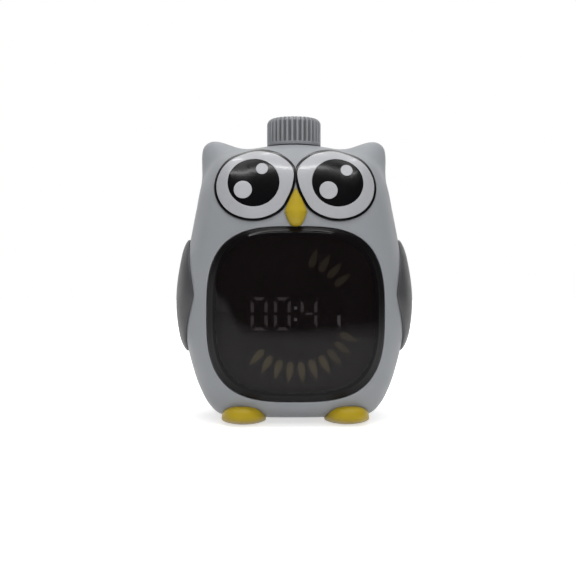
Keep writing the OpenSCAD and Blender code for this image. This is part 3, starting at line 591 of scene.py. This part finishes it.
def buildRearShell():
    r = rearShell
    turns = turnAngles(3)
    seam = seamY + body["seamGap"] / 2
    shoulder = seamY - r["rebate"]
    rings = list(reversed(rearRings(turns, body["wall"], 12)))
    rings += seamRings(turns, [(shoulder, body["wall"]), (shoulder, r["rebateInset"]),
                               (seam, r["rebateInset"]), (seam, r["seamRound"]), (seam + 0.12, 0.1),
                               (seam + r["seamRound"], 0)])
    rings += rearRings(turns)
    back = seamY + body["rear"]
    shell = toMesh(loft(rings, tips=[onAxis(back - body["wall"]), onAxis(back)]), "rear_skin")
    low, high = r["bayMiddle"] - r["bayHigh"] / 2, r["bayMiddle"] + r["bayHigh"] / 2
    half, wall, past = r["bayWide"] / 2, r["bayWall"], r["past"]
    rim = prism(r["rimWide"], r["rimBack"], 40)
    bore(rim, [rearForm(2, 0.02, 24)], "INTERSECT")
    bay = brick((-half - wall, r["bayFloor"] - wall, low - wall), (half + wall, r["bayRim"], high + wall))
    bore(shell, [rim, bay], "UNION")
    n = r["notch"]
    doorTop = r["bayMiddle"] + r["doorHigh"] / 2
    bore(shell, [brick((-n["half"], n["from"], high), (n["half"], n["to"], doorTop + n["over"]))], "UNION")
    cuts = [brick((-half, r["bayFloor"], low), (half, past, high)), prism(r["doorGap"], r["bayRim"], past),
            hingeBead(r["beadGap"], r["doorGap"], 40),
            tube(n["r"], (-n["long"], n["y"], doorTop), (n["long"], n["y"], doorTop), 64)]
    wide, deep, bottom = r["pocket"]
    cuts += [brick((x - wide, deep, bottom), (x + wide, r["bayRim"] + 1, low + 1)) for x in door["tabX"]]
    wide, deep, tall = r["slot"]
    cuts += [brick((x - wide, deep, r["switchZ"] - tall), (x + wide, past, r["switchZ"] + tall))
             for x in (-r["switchX"], r["switchX"])]
    for x, z in r["screws"]:
        cuts += [tube(r["screwR"], (side * x, r["screwSeat"], z), (side * x, 40, z)) for side in (-1, 1)]
    for ringR, count in r["soundRings"]:
        for i in range(count):
            x, z = ringR * cos(2 * pi * i / count), r["soundZ"] + ringR * sin(2 * pi * i / count)
            cuts.append(tube(r["soundR"], (x, 20, z), (x, 40, z), 20))
    bore(shell, cuts + [neckBore()])
    return dress(shell, "shell", "housing", "rear_shell")


frontSkin = buildFrontShell()
print("front shell made:", len(frontSkin.data.polygons), "faces")
rearSkin = buildRearShell()
print("rear shell made:", len(rearSkin.data.polygons), "faces")


def onFace(x, z, rise):
    return x, faceY(x, z) - rise, z


# Pads that lie on the face: rings of an outline about a middle, each with a share of its radius
# and a height over the skin
def facePad(middle, radii, over, under, top, base):
    x, z = middle
    turns = [2 * pi * i / len(radii) for i in range(len(radii))]
    rings = [[onFace(x + share * r * cos(t), z + share * r * sin(t), rise) for t, r in zip(turns, radii)]
             for share, rise in over + under]
    return loft(rings, tips=[onFace(x, z, top), onFace(x, z, base)])


beak = {"middle": (0, 80.8), "half": 4.3, "up": 9.2, "down": 8.8, "squareUp": 1.1, "squareDown": 1.2,
        "cut": 5.85, "rise": 3.5, "dome": (2.1, 0.6), "rim": 0.3, "lift": 0.12}


def beakR(t):
    b = beak
    if 0 < t < 180:
        return squared(t, b["half"], b["up"], b["squareUp"])
    kite = squared(t, b["half"], b["down"], b["squareDown"])
    return (kite ** -8 + (b["cut"] / max(0.01, -sin(radians(t)))) ** -8) ** (-1 / 8)


def buildBeak():
    b = beak
    count = 96
    radii = [beakR(360 * i / count) for i in range(count)]
    shares = [k / 16 for k in range(1, 15)] + [0.92, 0.96, 0.985, 1]
    m, n = b["dome"]
    over = [(e, b["rim"] + b["rise"] * (1 - e ** m) ** n) for e in shares]
    under = [(1, b["lift"]), (0.7, b["lift"]), (0.35, b["lift"])]
    bm = facePad(b["middle"], radii, over, under, b["rim"] + b["rise"], b["lift"])
    return dress(toMesh(bm, "beak_cap"), "beak", "housing", "beak")


# An eye's outline is a smooth curve through radii about its middle, from the outer side upwards
eye = {"middle": (15.6, 91.7), "line": 1.0, "topLine": 0.2, "iris": (16, 92.2), "irisSize": (9.85, 9.6),
       "plate": 0.65, "lift": 0.3, "white": 0.9, "gap": 0.06,
       "radii": [15.58, 15.05, 14.62, 14.48, 14.97, 15.26, 16.1, 16.75, 15.45, 14.6, 14.8, 14.6, 14.65,
                 14.97, 15.5, 15.73], "apart": 0.05, "whiteApart": 0.55,
       "glints": [(-20, 89.2, 3.45), (-12.8, 97.6, 2.3), (12.4, 89, 3.45), (19.6, 97.1, 2.3)]}


def eyeR(t, inset=0, apart=eye["apart"]):
    radii = eye["radii"]
    s = t / 360 * len(radii)
    i = int(s)
    u = s - i
    a, b, c, d = (radii[(i + k) % len(radii)] for k in (-1, 0, 1, 2))
    r = b + 0.5 * u * (c - a + u * (2 * a - 5 * b + 4 * c - d + u * (3 * (b - c) + d - a)))
    return min(r - inset, (eye["middle"][0] - apart) / max(0.1, -cos(radians(t))))


def buildEyePlate(side):
    count = 144
    radii = [eyeR(360 * i / count) for i in range(count)]
    top = eye["plate"]
    over = [(k / 12, top) for k in range(1, 12)] + [(0.975, top), (0.993, top - 0.03), (1, top - 0.1)]
    under = [(k / 6, eye["lift"]) for k in range(6, 0, -1)]
    bm = facePad(eye["middle"], radii, over, under, top, eye["lift"])
    return dressSide(bm, side, "_eye_gloss", "eyeBlack", "_eye_plate", 60)


def buildEyeWhite(side):
    count = 144
    steps = [360 * i / count for i in range(count)]

    def around(middle, wide, high, t):
        return middle[0] + wide * cos(radians(t)), middle[1] + high * sin(radians(t))

    outer = []
    for t in steps:
        r = eyeR(t, eye["line"] + eye["topLine"] * max(0, sin(radians(t))) ** 2, eye["whiteApart"])
        outer.append(around(eye["middle"], r, r, t))
    inner = [around(eye["iris"], *eye["irisSize"], t) for t in steps]
    top, low = eye["white"], eye["plate"] + eye["gap"]
    rows = [(0, top - 0.06), (0.02, top - 0.01)] + [(k / 10, top) for k in range(1, 10)]
    rows += [(0.98, top - 0.01), (1, top - 0.06), (1, low), (0.5, low), (0, low)]
    rings = [[onFace(x0 + (x1 - x0) * share, z0 + (z1 - z0) * share, rise)
              for (x0, z0), (x1, z1) in zip(inner, outer)] for share, rise in rows]
    bm = loft(rings, closed=True)
    return dressSide(bm, side, "_eye_ring", "eyeSilver", "_eye_white", 60)


def buildGlints():
    low, top = eye["plate"] + eye["gap"], eye["white"] - 0.02
    over = [(0.35, top), (0.7, top), (0.93, top), (0.985, top - 0.02), (1, top - 0.06)]
    whole = bmesh.new()
    for x, z, r in eye["glints"]:
        bm = facePad((x, z), [r] * 48, over, [(1, low), (0.5, low)], top, low)
        part = bpy.data.meshes.new("glint")
        bm.to_mesh(part)
        bm.free()
        whole.from_mesh(part)
        bpy.data.meshes.remove(part)
    return dress(toMesh(whole, "eye_dots", 60), "glint", "housing", "eye_glints")


buildBeak()
for side in ("left", "right"):
    buildEyePlate(side)
    buildEyeWhite(side)
buildGlints()
print("beak and eyes made")

wing = {"middle": (-4, 49.1), "size": (20.5, 22.2), "rearMore": 1.5, "point": 1.5, "rise": 2.6,
        "gap": 0.2, "fall": 0.22,
        "edge": [(0.84, 0.83), (0.89, 0.75), (0.93, 0.65), (0.965, 0.53), (0.99, 0.4), (1, 0.3)]}


def wingR(t):
    w, h = wing["size"]
    return squared(t, w, h, wing["point"]) if cos(radians(t)) < 0 else squared(t, w + wing["rearMore"], h, 2)


def buildWing(side):
    count = 120
    rings = []
    over = [(k / 14, 1 - (k / 14) ** 3 * wing["fall"]) for k in range(1, 12)]
    for share, rise in over + wing["edge"] + [(k / 8, 0) for k in range(8, 0, -1)]:
        ring = []
        for i in range(count):
            t = 360 * i / count
            out = share * wingR(t)
            y = wing["middle"][0] + out * cos(radians(t))
            z = wing["middle"][1] + out * sin(radians(t))
            ring.append((sideX(y, z) + (wing["rise"] * rise if rise else wing["gap"]), y, z))
        rings.append(ring)
    x = sideX(*wing["middle"])
    bm = loft(rings, tips=[(x + wing["rise"], *wing["middle"]), (x + wing["gap"], *wing["middle"])])
    return dressSide(bm, side, "_wing_pad", "wing", "_wing")


foot = {"x": 19.8, "front": -35, "wide": 16.9, "long": 54.5, "high": 7.6, "toe": 12, "toeRim": 3.3,
        "bellyRim": 1.3, "cut": 1.09, "heel": 9, "spring": (0.5, 0.045), "round": 5.5, "gap": 0.15,
        "bulge": 2.3, "rimBlend": (5, 9),
        "stations": [0.03, 0.1, 0.2, 0.35, 0.55, 0.8, 1.1, 1.5, 2, 2.6, 3.3, 4, 4.8, 5.6, 6.6, 7.8, 9, 10.5,
                     12, 14, 17, 21, 26, 32, 38, 42, 45, 47.5, 49.5, 51, 52.2, 53, 53.6, 54, 54.3, 54.44]}


def buildFoot(side):
    f = foot
    far = f["front"] + f["long"]

    def swell(d, reach):
        return 1 if d > reach else (1 - (1 - max(0, d) / reach) ** f["bulge"]) ** (1 / f["bulge"])

    def rim(d):
        start, reach = f["rimBlend"]
        return f["toeRim"] + (f["bellyRim"] - f["toeRim"]) * clamp((d - start) / reach)

    count = 72
    rings = []
    for d in f["stations"]:
        y = f["front"] + d
        half = f["wide"] / 2 * swell(d, f["toe"]) * swell(f["long"] - d, f["heel"])
        grow = swell(min(d, f["long"] - d), f["round"])
        sole = f["cut"] * min(1, f["spring"][0] + f["spring"][1] * d)
        ring = []
        for i in range(count):
            t = 2 * pi * i / count
            power = 0.8 if sin(t) > 0 else 1
            c = (1 if cos(t) > 0 else -1) * abs(cos(t)) ** power
            s = (1 if sin(t) > 0 else -1) * abs(sin(t)) ** power
            x = f["x"] + half * c
            z = rim(d) + (f["high"] - rim(d) if s > 0 else sole * rim(d)) * s * grow
            ring.append((x, y, max(0, min(z, underZ(x, y) - f["gap"]))))
        rings.append(ring)
    bm = loft(rings, tips=[(f["x"], f["front"], f["toeRim"]), (f["x"], far - 0.03, f["bellyRim"])])
    return dressSide(bm, side, "_foot_pad", "foot", "_foot")


for side in ("left", "right"):
    buildWing(side)
    buildFoot(side)
print("wings and feet made")

# grooveShadeColour is painted shade for the grooves, and flangeShade is how much of that painted shade the
# flange below the ribs takes
knob = {"wide": 21.8, "top": 120.7, "base": 109.4, "round": 2.4, "ribs": 33, "turn": 3.6, "deep": 1,
        "ring": 1.1, "stem": 5.05, "stemLow": 104.4, "dish": 8.6, "dishTop": 112.6,
        "grooveShadeColour": (116, 117, 120), "flangeShade": 0.3}


def buildKnob():
    k = knob
    count = k["ribs"] * 14
    outerR = k["wide"] / 2

    def rib(i):  # 1 on a rib, 0 in a groove
        wave = cos(2 * pi * k["ribs"] * (i / count - k["turn"] / 360))
        share = clamp(0.5 + 1.25 * wave)
        return share * share * (3 - 2 * share)

    def ring(r, z, cut=0):
        points = []
        for i in range(count):
            out = r - cut * (1 - rib(i))
            points.append((out * cos(2 * pi * i / count), seamY + out * sin(2 * pi * i / count), z))
        return points

    base = k["base"]
    flange = base + k["ring"]
    rings = [ring(k["stem"], k["stemLow"]), ring(k["stem"], k["dishTop"]), ring(k["dish"], k["dishTop"]),
             ring(k["dish"], base + 0.15), ring(k["dish"] + 0.15, base), ring(outerR - 0.25, base),
             ring(outerR - 0.07, base + 0.07), ring(outerR, base + 0.25), ring(outerR, flange)]
    for step, cut in ((0.12, 0.3), (0.3, 0.7), (0.5, 1), (1.5, 1)):
        rings.append(ring(outerR, flange + step, k["deep"] * cut))
    c = k["round"]
    for a in range(0, 91, 9):
        fade = 1 if a < 60 else (96 - a) / 36
        drop = 0.3 * cos(radians(90 - a)) * fade
        points = ring(outerR - c + c * cos(radians(a)), k["top"] - c + c * sin(radians(a)), k["deep"] * fade)
        rings.append([(x, y, z - drop * (1 - rib(i))) for i, (x, y, z) in enumerate(points)])
    for r in (7.6, 6.6, 5, 3, 1.2):
        rings.append(ring(r, k["top"]))
    bm = loft(rings, tips=[(0, seamY, k["stemLow"]), (0, seamY, k["top"])])
    # the groove attribute says where painted shade goes: by depth in the grooves, and flangeShade on the
    # flange
    groove = bm.verts.layers.float.new("groove")
    for v in bm.verts:
        if flange < v.co.z < k["top"] - c * 0.6:
            v[groove] = clamp((outerR - hypot(v.co.x, v.co.y - seamY)) / k["deep"])
        else:
            v[groove] = k["flangeShade"] if v.co.z < flange + 0.05 else 0
    return dress(toMesh(bm, "knob_cap", 50), knobFinish(), "push_knob", "knob")


def knobFinish():  # the grooves and the flange under the ribs are darkened with painted shade, laid over the ribs' colour
    mat = makeFinish("knob")
    return tintOver(mat, attribute(mat.node_tree, "groove"), knob["grooveShadeColour"])


buildKnob()
print("knob made")

# Window: a smoked pane with a rounded rim over the display. Its depth is a smooth even surface laid
# through the face, so that its reflections run without waves: each term is (factor, power of x,
# power of height), both in units of 30 mm from the body's middle. The satin edge starts at a share of
# the radius, later at the top, and comes in over a short width.
pane = {"pillow": 1.455, "fold": 0.932, "thick": 1.7, "hollow": 0.5, "alpha": 0.62, "unit": 30,
        "border": 0.9, "edgeRough": 0.32, "satin": (0.912, 0.038, 0.022),
        "terms": [(0.822, 2, 0), (0.253, 0, 1), (0.41, 0, 2), (-0.166, 2, 1), (-0.02, 0, 3), (2.62, 4, 0),
                  (1.058, 2, 2), (-0.42, 0, 4), (0.205, 6, 0), (1.98, 4, 2), (-1.508, 2, 4), (1.121, 0, 6)]}


def panePoint(t, share, out):
    x, y, z = ray(t, windowR(t) * share, 0)
    across, up = x / pane["unit"], (z - midZ) / pane["unit"]
    deep = sum(k * across ** m * up ** n for k, m, n in pane["terms"])
    return x, seamY - body["front"] + deep - out, z


# Smoke that shows the display, and an opaque border over the ledge that turns satin at its edge
finishes["smoke"] = {"colour": (24, 19, 20), "rough": 0.05, "spec": 0.28, "drift": 0.08, "patch": 30,
                     "grain": 0.6, "depth": 0.0006, "polish": 0.02}
finishes["border"] = dict(finishes["smoke"], colour=(17, 15, 16), spec=0.13)


def borderFinish():
    mat = makeFinish("border")
    tree = mat.node_tree
    satin = stretch(tree, attribute(tree, "edge"), finishes["border"]["rough"], pane["edgeRough"], 0, 1)
    feed(tree, tree.nodes["Principled BSDF"], {"Roughness": satin})
    return mat


def windowShare(spot):  # how far out a point of the window lies: 0 in its middle, 1 at its edge
    up = spot.z - midZ
    return hypot(spot.x, up) / windowR(degrees(atan2(up, spot.x)))


def buildWindow():
    turns = turnAngles(4)
    fold = pane["fold"]
    rows = [(k / 20, 1) for k in range(1, 18)] + [(0.88, 1), (0.9, 0.997)]
    rows += [(fold + step, share) for step, share in ((-0.02, 0.99), (-0.01, 0.975), (-0.004, 0.955),
                                                      (0, 0.935), (0.004, 0.895), (0.009, 0.825))]
    rows += [(0.946, 0.745), (0.954, 0.62), (0.964, 0.49), (0.976, 0.35), (0.988, 0.2), (0.996, 0.1),
             (1, 0.03)]
    back = pane["thick"] - pane["hollow"]
    rings = [[panePoint(t, e, pane["pillow"] * share) for t in turns] for e, share in rows]
    rings += [[panePoint(t, e, -pane["thick"]) for t in turns] for e in (1, 0.93)]
    rings += [[panePoint(t, e, -back) for t in turns] for e in (0.9, 0.7, 0.5, 0.3, 0.15)]
    middle = seamY - body["front"]
    bm = loft(rings, tips=[onAxis(middle - pane["pillow"]), onAxis(middle + back)])
    edge = bm.verts.layers.float.new("edge")
    start, later, width = pane["satin"]
    for v in bm.verts:
        up = v.co.z - midZ
        above = clamp((up / max(hypot(v.co.x, up), 1) - 0.5) / 0.3)
        v[edge] = clamp((windowShare(v.co) - start - later * above) / width)
    holder = dress(toMesh(bm, "window_pane"), makeFinish("smoke", alpha=pane["alpha"]), "housing",
                   "display_window")
    holder.data.materials.append(borderFinish())
    for f in holder.data.polygons:
        f.material_index = 1 if windowShare(f.center * 1000) > pane["border"] else 0
    return holder


buildWindow()

# Light petals and digits: which ones glow, and how they look before the smoked pane dims them
display = {"depth": -27.8, "ring": 22.3, "petalLong": 8.2, "petalWide": 3.2, "petals": 30,
           "glowing": {"bright_petals": ([150, 162, 174, 186, 198, 210, 222], (124, 114, 84)),
                       "side_petals": ([114, 126, 138], (96, 89, 68)),
                       "dim_petals": ([18, 30, 42, 54], (74, 67, 50))},
           "digitHigh": 12.7, "digitWide": 6.5, "bar": 1.35, "corner": (0.95, 1.25),
           "digitX": [-13.85, -5.05, 5.05, 13.85], "shown": ["abcdef", "abcdef", "bcfg", "c"],
           "dotHalf": 0.65, "dotZ": 2.2, "recess": 0.15, "soft": 0.06,
           "digitGlow": (108, 99, 103), "dotGlow": (150, 142, 146), "lastGlow": (136, 130, 134), "thick": 1.4}


def petalPoints(angle):
    half = [(0, -1), (0.5, -0.94), (0.88, -0.74), (1, -0.45), (0.97, -0.1), (0.78, 0.3), (0.42, 0.7), (0, 1)]
    outline = half + [(-x, z) for x, z in reversed(half[1:-1])]
    c, s = cos(radians(-angle)), sin(radians(-angle))
    wide, long = display["petalWide"] / 2, display["petalLong"] / 2
    spots = [(x * wide, display["ring"] + z * long) for x, z in outline]
    return [(x * c - z * s, x * s + z * c) for x, z in spots]


# The bars of one digit: the outer ones are cut back at its corners, the middle one is pointed
def digitBars(middle):
    d = display
    w, h, b = d["digitWide"] / 2, d["digitHigh"] / 2, d["bar"]
    cutX, cutZ = d["corner"]
    level = [(cutX - w, h), (w - cutX, h), (w - cutX - 0.8 * b, h - b), (cutX + 0.8 * b - w, h - b)]
    upright = [(w, h - cutZ), (w, 0.45), (w - b, 0.6), (w - b, h - cutZ - 0.85 * b)]

    def flip(points, x, z):
        return [(x * a, z * b) for a, b in points]

    bars = {"a": level, "d": flip(level, 1, -1), "b": upright, "c": flip(upright, 1, -1),
            "f": flip(upright, -1, 1), "e": flip(upright, -1, -1),
            "g": [(-1.6, 0), (-1.1, 0.5), (1.1, 0.5), (1.6, 0), (1.1, -0.5), (-1.1, -0.5)]}
    return {name: [(middle + x, z) for x, z in points] for name, points in bars.items()}


# The "glow" attribute rises from a piece's rim to 1 inside it, so that its light fades to the edge
def displayPiece(name, outlines, finish, replaced, fade, rimLight=0.1):
    bm = bmesh.new()
    front = display["depth"] + display["recess"]
    for points in outlines:
        slab(bm, points, front, display["depth"] + display["thick"])
    bmesh.ops.recalc_face_normals(bm, faces=bm.faces)
    rim = [e for e in bm.edges if all(v.co.y < front + 0.05 for v in e.verts)]
    bmesh.ops.bevel(bm, geom=rim, offset=display["soft"], offset_type="OFFSET", segments=2,
                    profile=0.5, affect="EDGES", material=-1)
    glow = bm.verts.layers.float.new("glow")
    caps = [f for f in bm.faces if all(v.co.y < front + 0.001 for v in f.verts)]
    for level in (0, 0.55, 1):
        if level:
            bmesh.ops.inset_individual(bm, faces=caps, thickness=fade / 2, use_even_offset=True)
        for v in {v for f in caps for v in f.verts}:
            v[glow] = rimLight + (1 - rimLight) * level
    return dress(toMesh(bm, name, 50), finish, "housing", replaced)


def buildDisplay():
    d = display
    finishes["petalOn"] = dict(finishes["petalOff"], patch=1.6)
    finishes["segmentOn"] = dict(finishes["segmentOff"], patch=1.2)
    rest = [round(360 / d["petals"] * (i + 0.5)) for i in range(d["petals"])]
    for name, (angles, glow) in d["glowing"].items():
        displayPiece(name, [petalPoints(a) for a in angles], makeFinish("petalOn", glow=glow),
                     "petal_diffusers", 0.5)
        rest = [a for a in rest if a not in angles]
    displayPiece("dark_petals", [petalPoints(a) for a in rest], "petalOff", "petal_diffusers",
                 0.4)
    shown, hidden = [], []
    for middle, letters in zip(d["digitX"], d["shown"]):
        for name, points in digitBars(middle).items():
            (shown if name in letters else hidden).append(points)
    last = shown.pop()
    h = d["dotHalf"]
    colon = [[(-h, z - h), (h, z - h), (h, z + h), (-h, z + h)] for z in (-d["dotZ"], d["dotZ"])]
    for name, outlines, glow in (("lit_segments", shown, d["digitGlow"]), ("colon_dots", colon, d["dotGlow"]),
                                 ("last_segment", [last], d["lastGlow"])):
        displayPiece(name, outlines, makeFinish("segmentOn", glow=glow), "digit_segments",
                     0.14, 0.6)
    displayPiece("dark_segments", hidden, "segmentOff", "digit_segments", 0.3)


buildDisplay()
print("window and display made")

# Battery door: the rear form's skin inside the door's outline, with a softened edge, the round
# bead it turns on, and its two tabs
def buildDoor():
    r, d = rearShell, door
    hingeZ = r["bayMiddle"] - r["doorHigh"] / 2 + r["bead"]
    form = rearForm(3, 0, 40)
    panel = prism(0, d["front"], r["past"])
    bore(panel, [brick((-40, 30, 0), (40, 50, hingeZ))])
    bore(panel, [hingeBead(0, 0, 48)], "UNION")
    bore(panel, [form], "INTERSECT")
    inner, outer = d["tabY"]
    low, step, top = d["tabZ"]
    half = d["tabHalf"]
    tabs = []
    for x in d["tabX"]:
        tabs += [brick((x - half, inner, low), (x + half, outer, top)),
                 brick((x - half, outer - 0.1, step), (x + half, d["front"] + 0.3, top))]
    bore(panel, tabs, "UNION")
    panel.name = "door_panel"
    panel.data.name = "door_panel"
    soft = panel.modifiers.new("soft edge", "BEVEL")
    soft.width = d["soft"] / 1000
    soft.segments = 2
    soft.limit_method = "ANGLE"
    soft.angle_limit = radians(50)
    applyModifiers(panel)
    soften(panel, 30)
    return dress(panel, "shell", "door", "battery_door")


buildDoor()
print("door made")

# The CAD nodes that stay as they are get their finishes
kept = {
    "foam": ["window_gasket"],
    "blackPlastic": ["light_frame", "digit_housing", "main_chip", "buzzer"],
    "ledResin": ["petal_leds"],
    "board": ["main_board", "encoder_board", "switch_board"],
    "steel": ["board_screws", "encoder_shaft", "dome_switch", "encoder_screws", "switch_board_screws",
              "case_screws"],
    "collar": ["knob_collar"],
    "cream": ["encoder_rotor"],
    "tin": ["encoder_body", "volume_switch_case", "power_switch_case"],
    "nickel": ["lower_contacts", "upper_contacts"],
    "slider": ["volume_slider", "power_slider"],
}


def paint(name, finish):
    slots = nodes[name].data.materials
    if not len(slots):
        slots.append(finish)
    for i in range(len(slots)):
        slots[i] = finish


for finish, names in kept.items():
    for name in names:
        paint(name, materials[finish])


# Battery cells: a plain sleeve with a band of another colour above a height, in metres
cell = {"band": (0.0505, 0.0508), "bandColour": (184, 140, 70)}
finishes["cell"] = {"colour": (86, 104, 126), "rough": 0.32, "spec": 0.5, "drift": 0.04, "patch": 6,
                    "grain": 0.3, "depth": 0.004, "polish": 0.06}


def cellFinish():
    mat = makeFinish("cell")
    tree = mat.node_tree
    spots = tree.nodes["Texture Coordinate"].outputs["Object"]
    height = addNode(tree, "SeparateXYZ", {"Vector": spots})["Z"]
    return tintOver(mat, stretch(tree, height, 0, 1, *cell["band"]), cell["bandColour"])


paint("battery_cells", cellFinish())
print("finishes set on the CAD nodes")

# Studio: a white floor that shows as white but keeps the shadow, a white world, and soft lamps.
# Each lamp: place, size, power, and whether reflections see it. The floor's glow, for the camera and
# for reflections: near and far strength, and the distances in metres where these hold
studio = {"worldFill": 0.3, "floorColour": 0.76, "aim": (0, 0, 0.06),
          "lamps": {"topSoft": ((0, -0.1, 1.0), (0.9, 0.7), 3.1, False),
                    "frontSoft": ((0.1, -1.1, 0.55), (0.9, 0.6), 4.8, False),
                    "backSoft": ((0.3, 1.1, 0.6), (0.9, 0.6), 2.0, False),
                    "strip": ((0, -0.17, 0.9), (0.75, 0.05), 1.8, True),
                    "rear": ((0, 0.42, 0.95), (0.3, 0.08), 0.5, True)},
          "glow": {"Is Camera Ray": (0.64, 1, 0.3, 0.9), "Is Glossy Ray": (0.66, 0.42, 0.16, 0.45)}}


def combine(tree, operation, a, b):
    return addNode(tree, "Math", {0: a, 1: b}, operation=operation)["Value"]


def floorMaterial():
    mat, tree, shader = newMaterial("studioFloor")
    feed(tree, shader, {"Base Color": (studio["floorColour"],) * 3 + (1,), "Roughness": 0.8,
                        "Specular IOR Level": 0.1})
    path = addNode(tree, "LightPath")
    spots = addNode(tree, "TexCoord")["Object"]
    away = addNode(tree, "VectorMath", {0: spots}, operation="LENGTH")["Value"]
    seen, mirrored = (combine(tree, "MULTIPLY", path[ray], stretch(tree, away, *reach))
                      for ray, reach in studio["glow"].items())
    power = combine(tree, "ADD", seen, mirrored)
    glow = addNode(tree, "Emission", {"Color": (1, 1, 1, 1), "Strength": power})["Emission"]
    lift = addNode(tree, "AddShader", {0: shader.outputs["BSDF"], 1: glow})["Shader"]
    feed(tree, tree.nodes["Material Output"], {"Surface": lift})
    return mat


def addStudio():
    bm = bmesh.new()
    bmesh.ops.create_grid(bm, x_segments=1, y_segments=1, size=4)
    floor = hold(bm, "floor")
    floor.data.materials.append(floorMaterial())
    world = bpy.data.worlds.new("studio")
    bpy.context.scene.world = world
    world.use_nodes = True
    tree = world.node_tree
    path = addNode(tree, "LightPath")
    direct = combine(tree, "MAXIMUM", path["Is Camera Ray"], path["Is Glossy Ray"])
    direct = combine(tree, "MAXIMUM", direct, path["Is Transmission Ray"])
    feed(tree, tree.nodes["Background"], {"Color": (1, 1, 1, 1),
                                          "Strength": stretch(tree, direct, studio["worldFill"], 1, 0, 1)})


# A dark curved card round the front that only reflections see. It keeps the upper window dark, as
# a dim room does, and leaves the floor's pale reflection below its soft lower edge.
# Each point: direction in degrees (0 in front, 90 to the right), distance, edge's height and softness
card = {"points": [(-110, 0.5, 0.14, 0.014), (-67, 0.5, 0.126, 0.014), (-54, 0.5, 0.098, 0.014),
                   (-46.7, 0.5, 0.081, 0.014), (-40.4, 0.5, 0.067, 0.014), (-33.6, 0.5, 0.05, 0.02),
                   (-30, 0.5, 0.036, 0.024), (-26.9, 0.5, 0.022, 0.03), (-23, 0.5, 0.012, 0.03),
                   (-18, 0.5, 0.01, 0.024), (-14, 0.5, 0.011, 0.018), (-7, 0.5, 0.014, 0.014),
                   (2, 0.5, 0.015, 0.014), (8, 0.5, 0.014, 0.016), (17, 0.5, 0.01, 0.022),
                   (27, 0.42, 0.009, 0.028), (40, 0.33, 0.01, 0.032), (51, 0.28, 0.012, 0.032),
                   (60, 0.25, 0.014, 0.032), (80, 0.25, 0.02, 0.03), (110, 0.25, 0.03, 0.03)],
        "top": 1.1, "roof": 1.2, "opening": 0.4}


def addCard():
    count = len(card["points"])
    bm = bmesh.new()
    bmesh.ops.create_grid(bm, x_segments=count - 1, y_segments=2, size=1)
    low = [(away * sin(radians(turn)), -away * cos(radians(turn)), edge - soft / 2)
           for turn, away, edge, soft in card["points"]]
    inner = [(x, y, z + point[3]) for (x, y, z), point in zip(low, card["points"])]
    high = [(x, y, card["top"]) for x, y, z in low]
    place(sorted(bm.verts, key=lambda v: (v.co.y, v.co.x)), low + inner + high)
    dark = bm.verts.layers.float.new("dark")
    for v in bm.verts:
        v[dark] = 0 if any((v.co - Vector(p)).length < 1e-5 for p in low) else 1
    rim = [e for e in bm.edges if all(v.co.z > 1 for v in e.verts)]
    made = bmesh.ops.extrude_edge_only(bm, edges=rim)["geom"]
    inwards = (card["opening"], card["opening"], card["roof"] / card["top"])
    bmesh.ops.scale(bm, vec=inwards, verts=vertsOf(made))
    holder = hold(bm, "dark_card")
    mat, tree, shader = newMaterial("darkCard")
    feed(tree, shader, {"Base Color": (0.01, 0.01, 0.01, 1), "Roughness": 0.9,
                        "Alpha": attribute(tree, "dark")})
    holder.data.materials.append(mat)
    holder.visible_camera = holder.visible_diffuse = holder.visible_transmission = False
    holder.visible_shadow = False


def addLamp(name, spot, size, power, glossy):
    data = bpy.data.lights.new(name, "AREA")
    data.shape = "RECTANGLE"
    data.size, data.size_y = size
    data.energy = power
    lamp = bpy.data.objects.new(name, data)
    lamp.location = spot
    lamp.rotation_euler = (Vector(studio["aim"]) - Vector(spot)).to_track_quat("-Z", "Y").to_euler()
    lamp.visible_glossy = glossy
    bpy.context.scene.collection.objects.link(lamp)


addStudio()
addCard()
for name, lamp in studio["lamps"].items():
    addLamp(name, *lamp)
print("studio set")
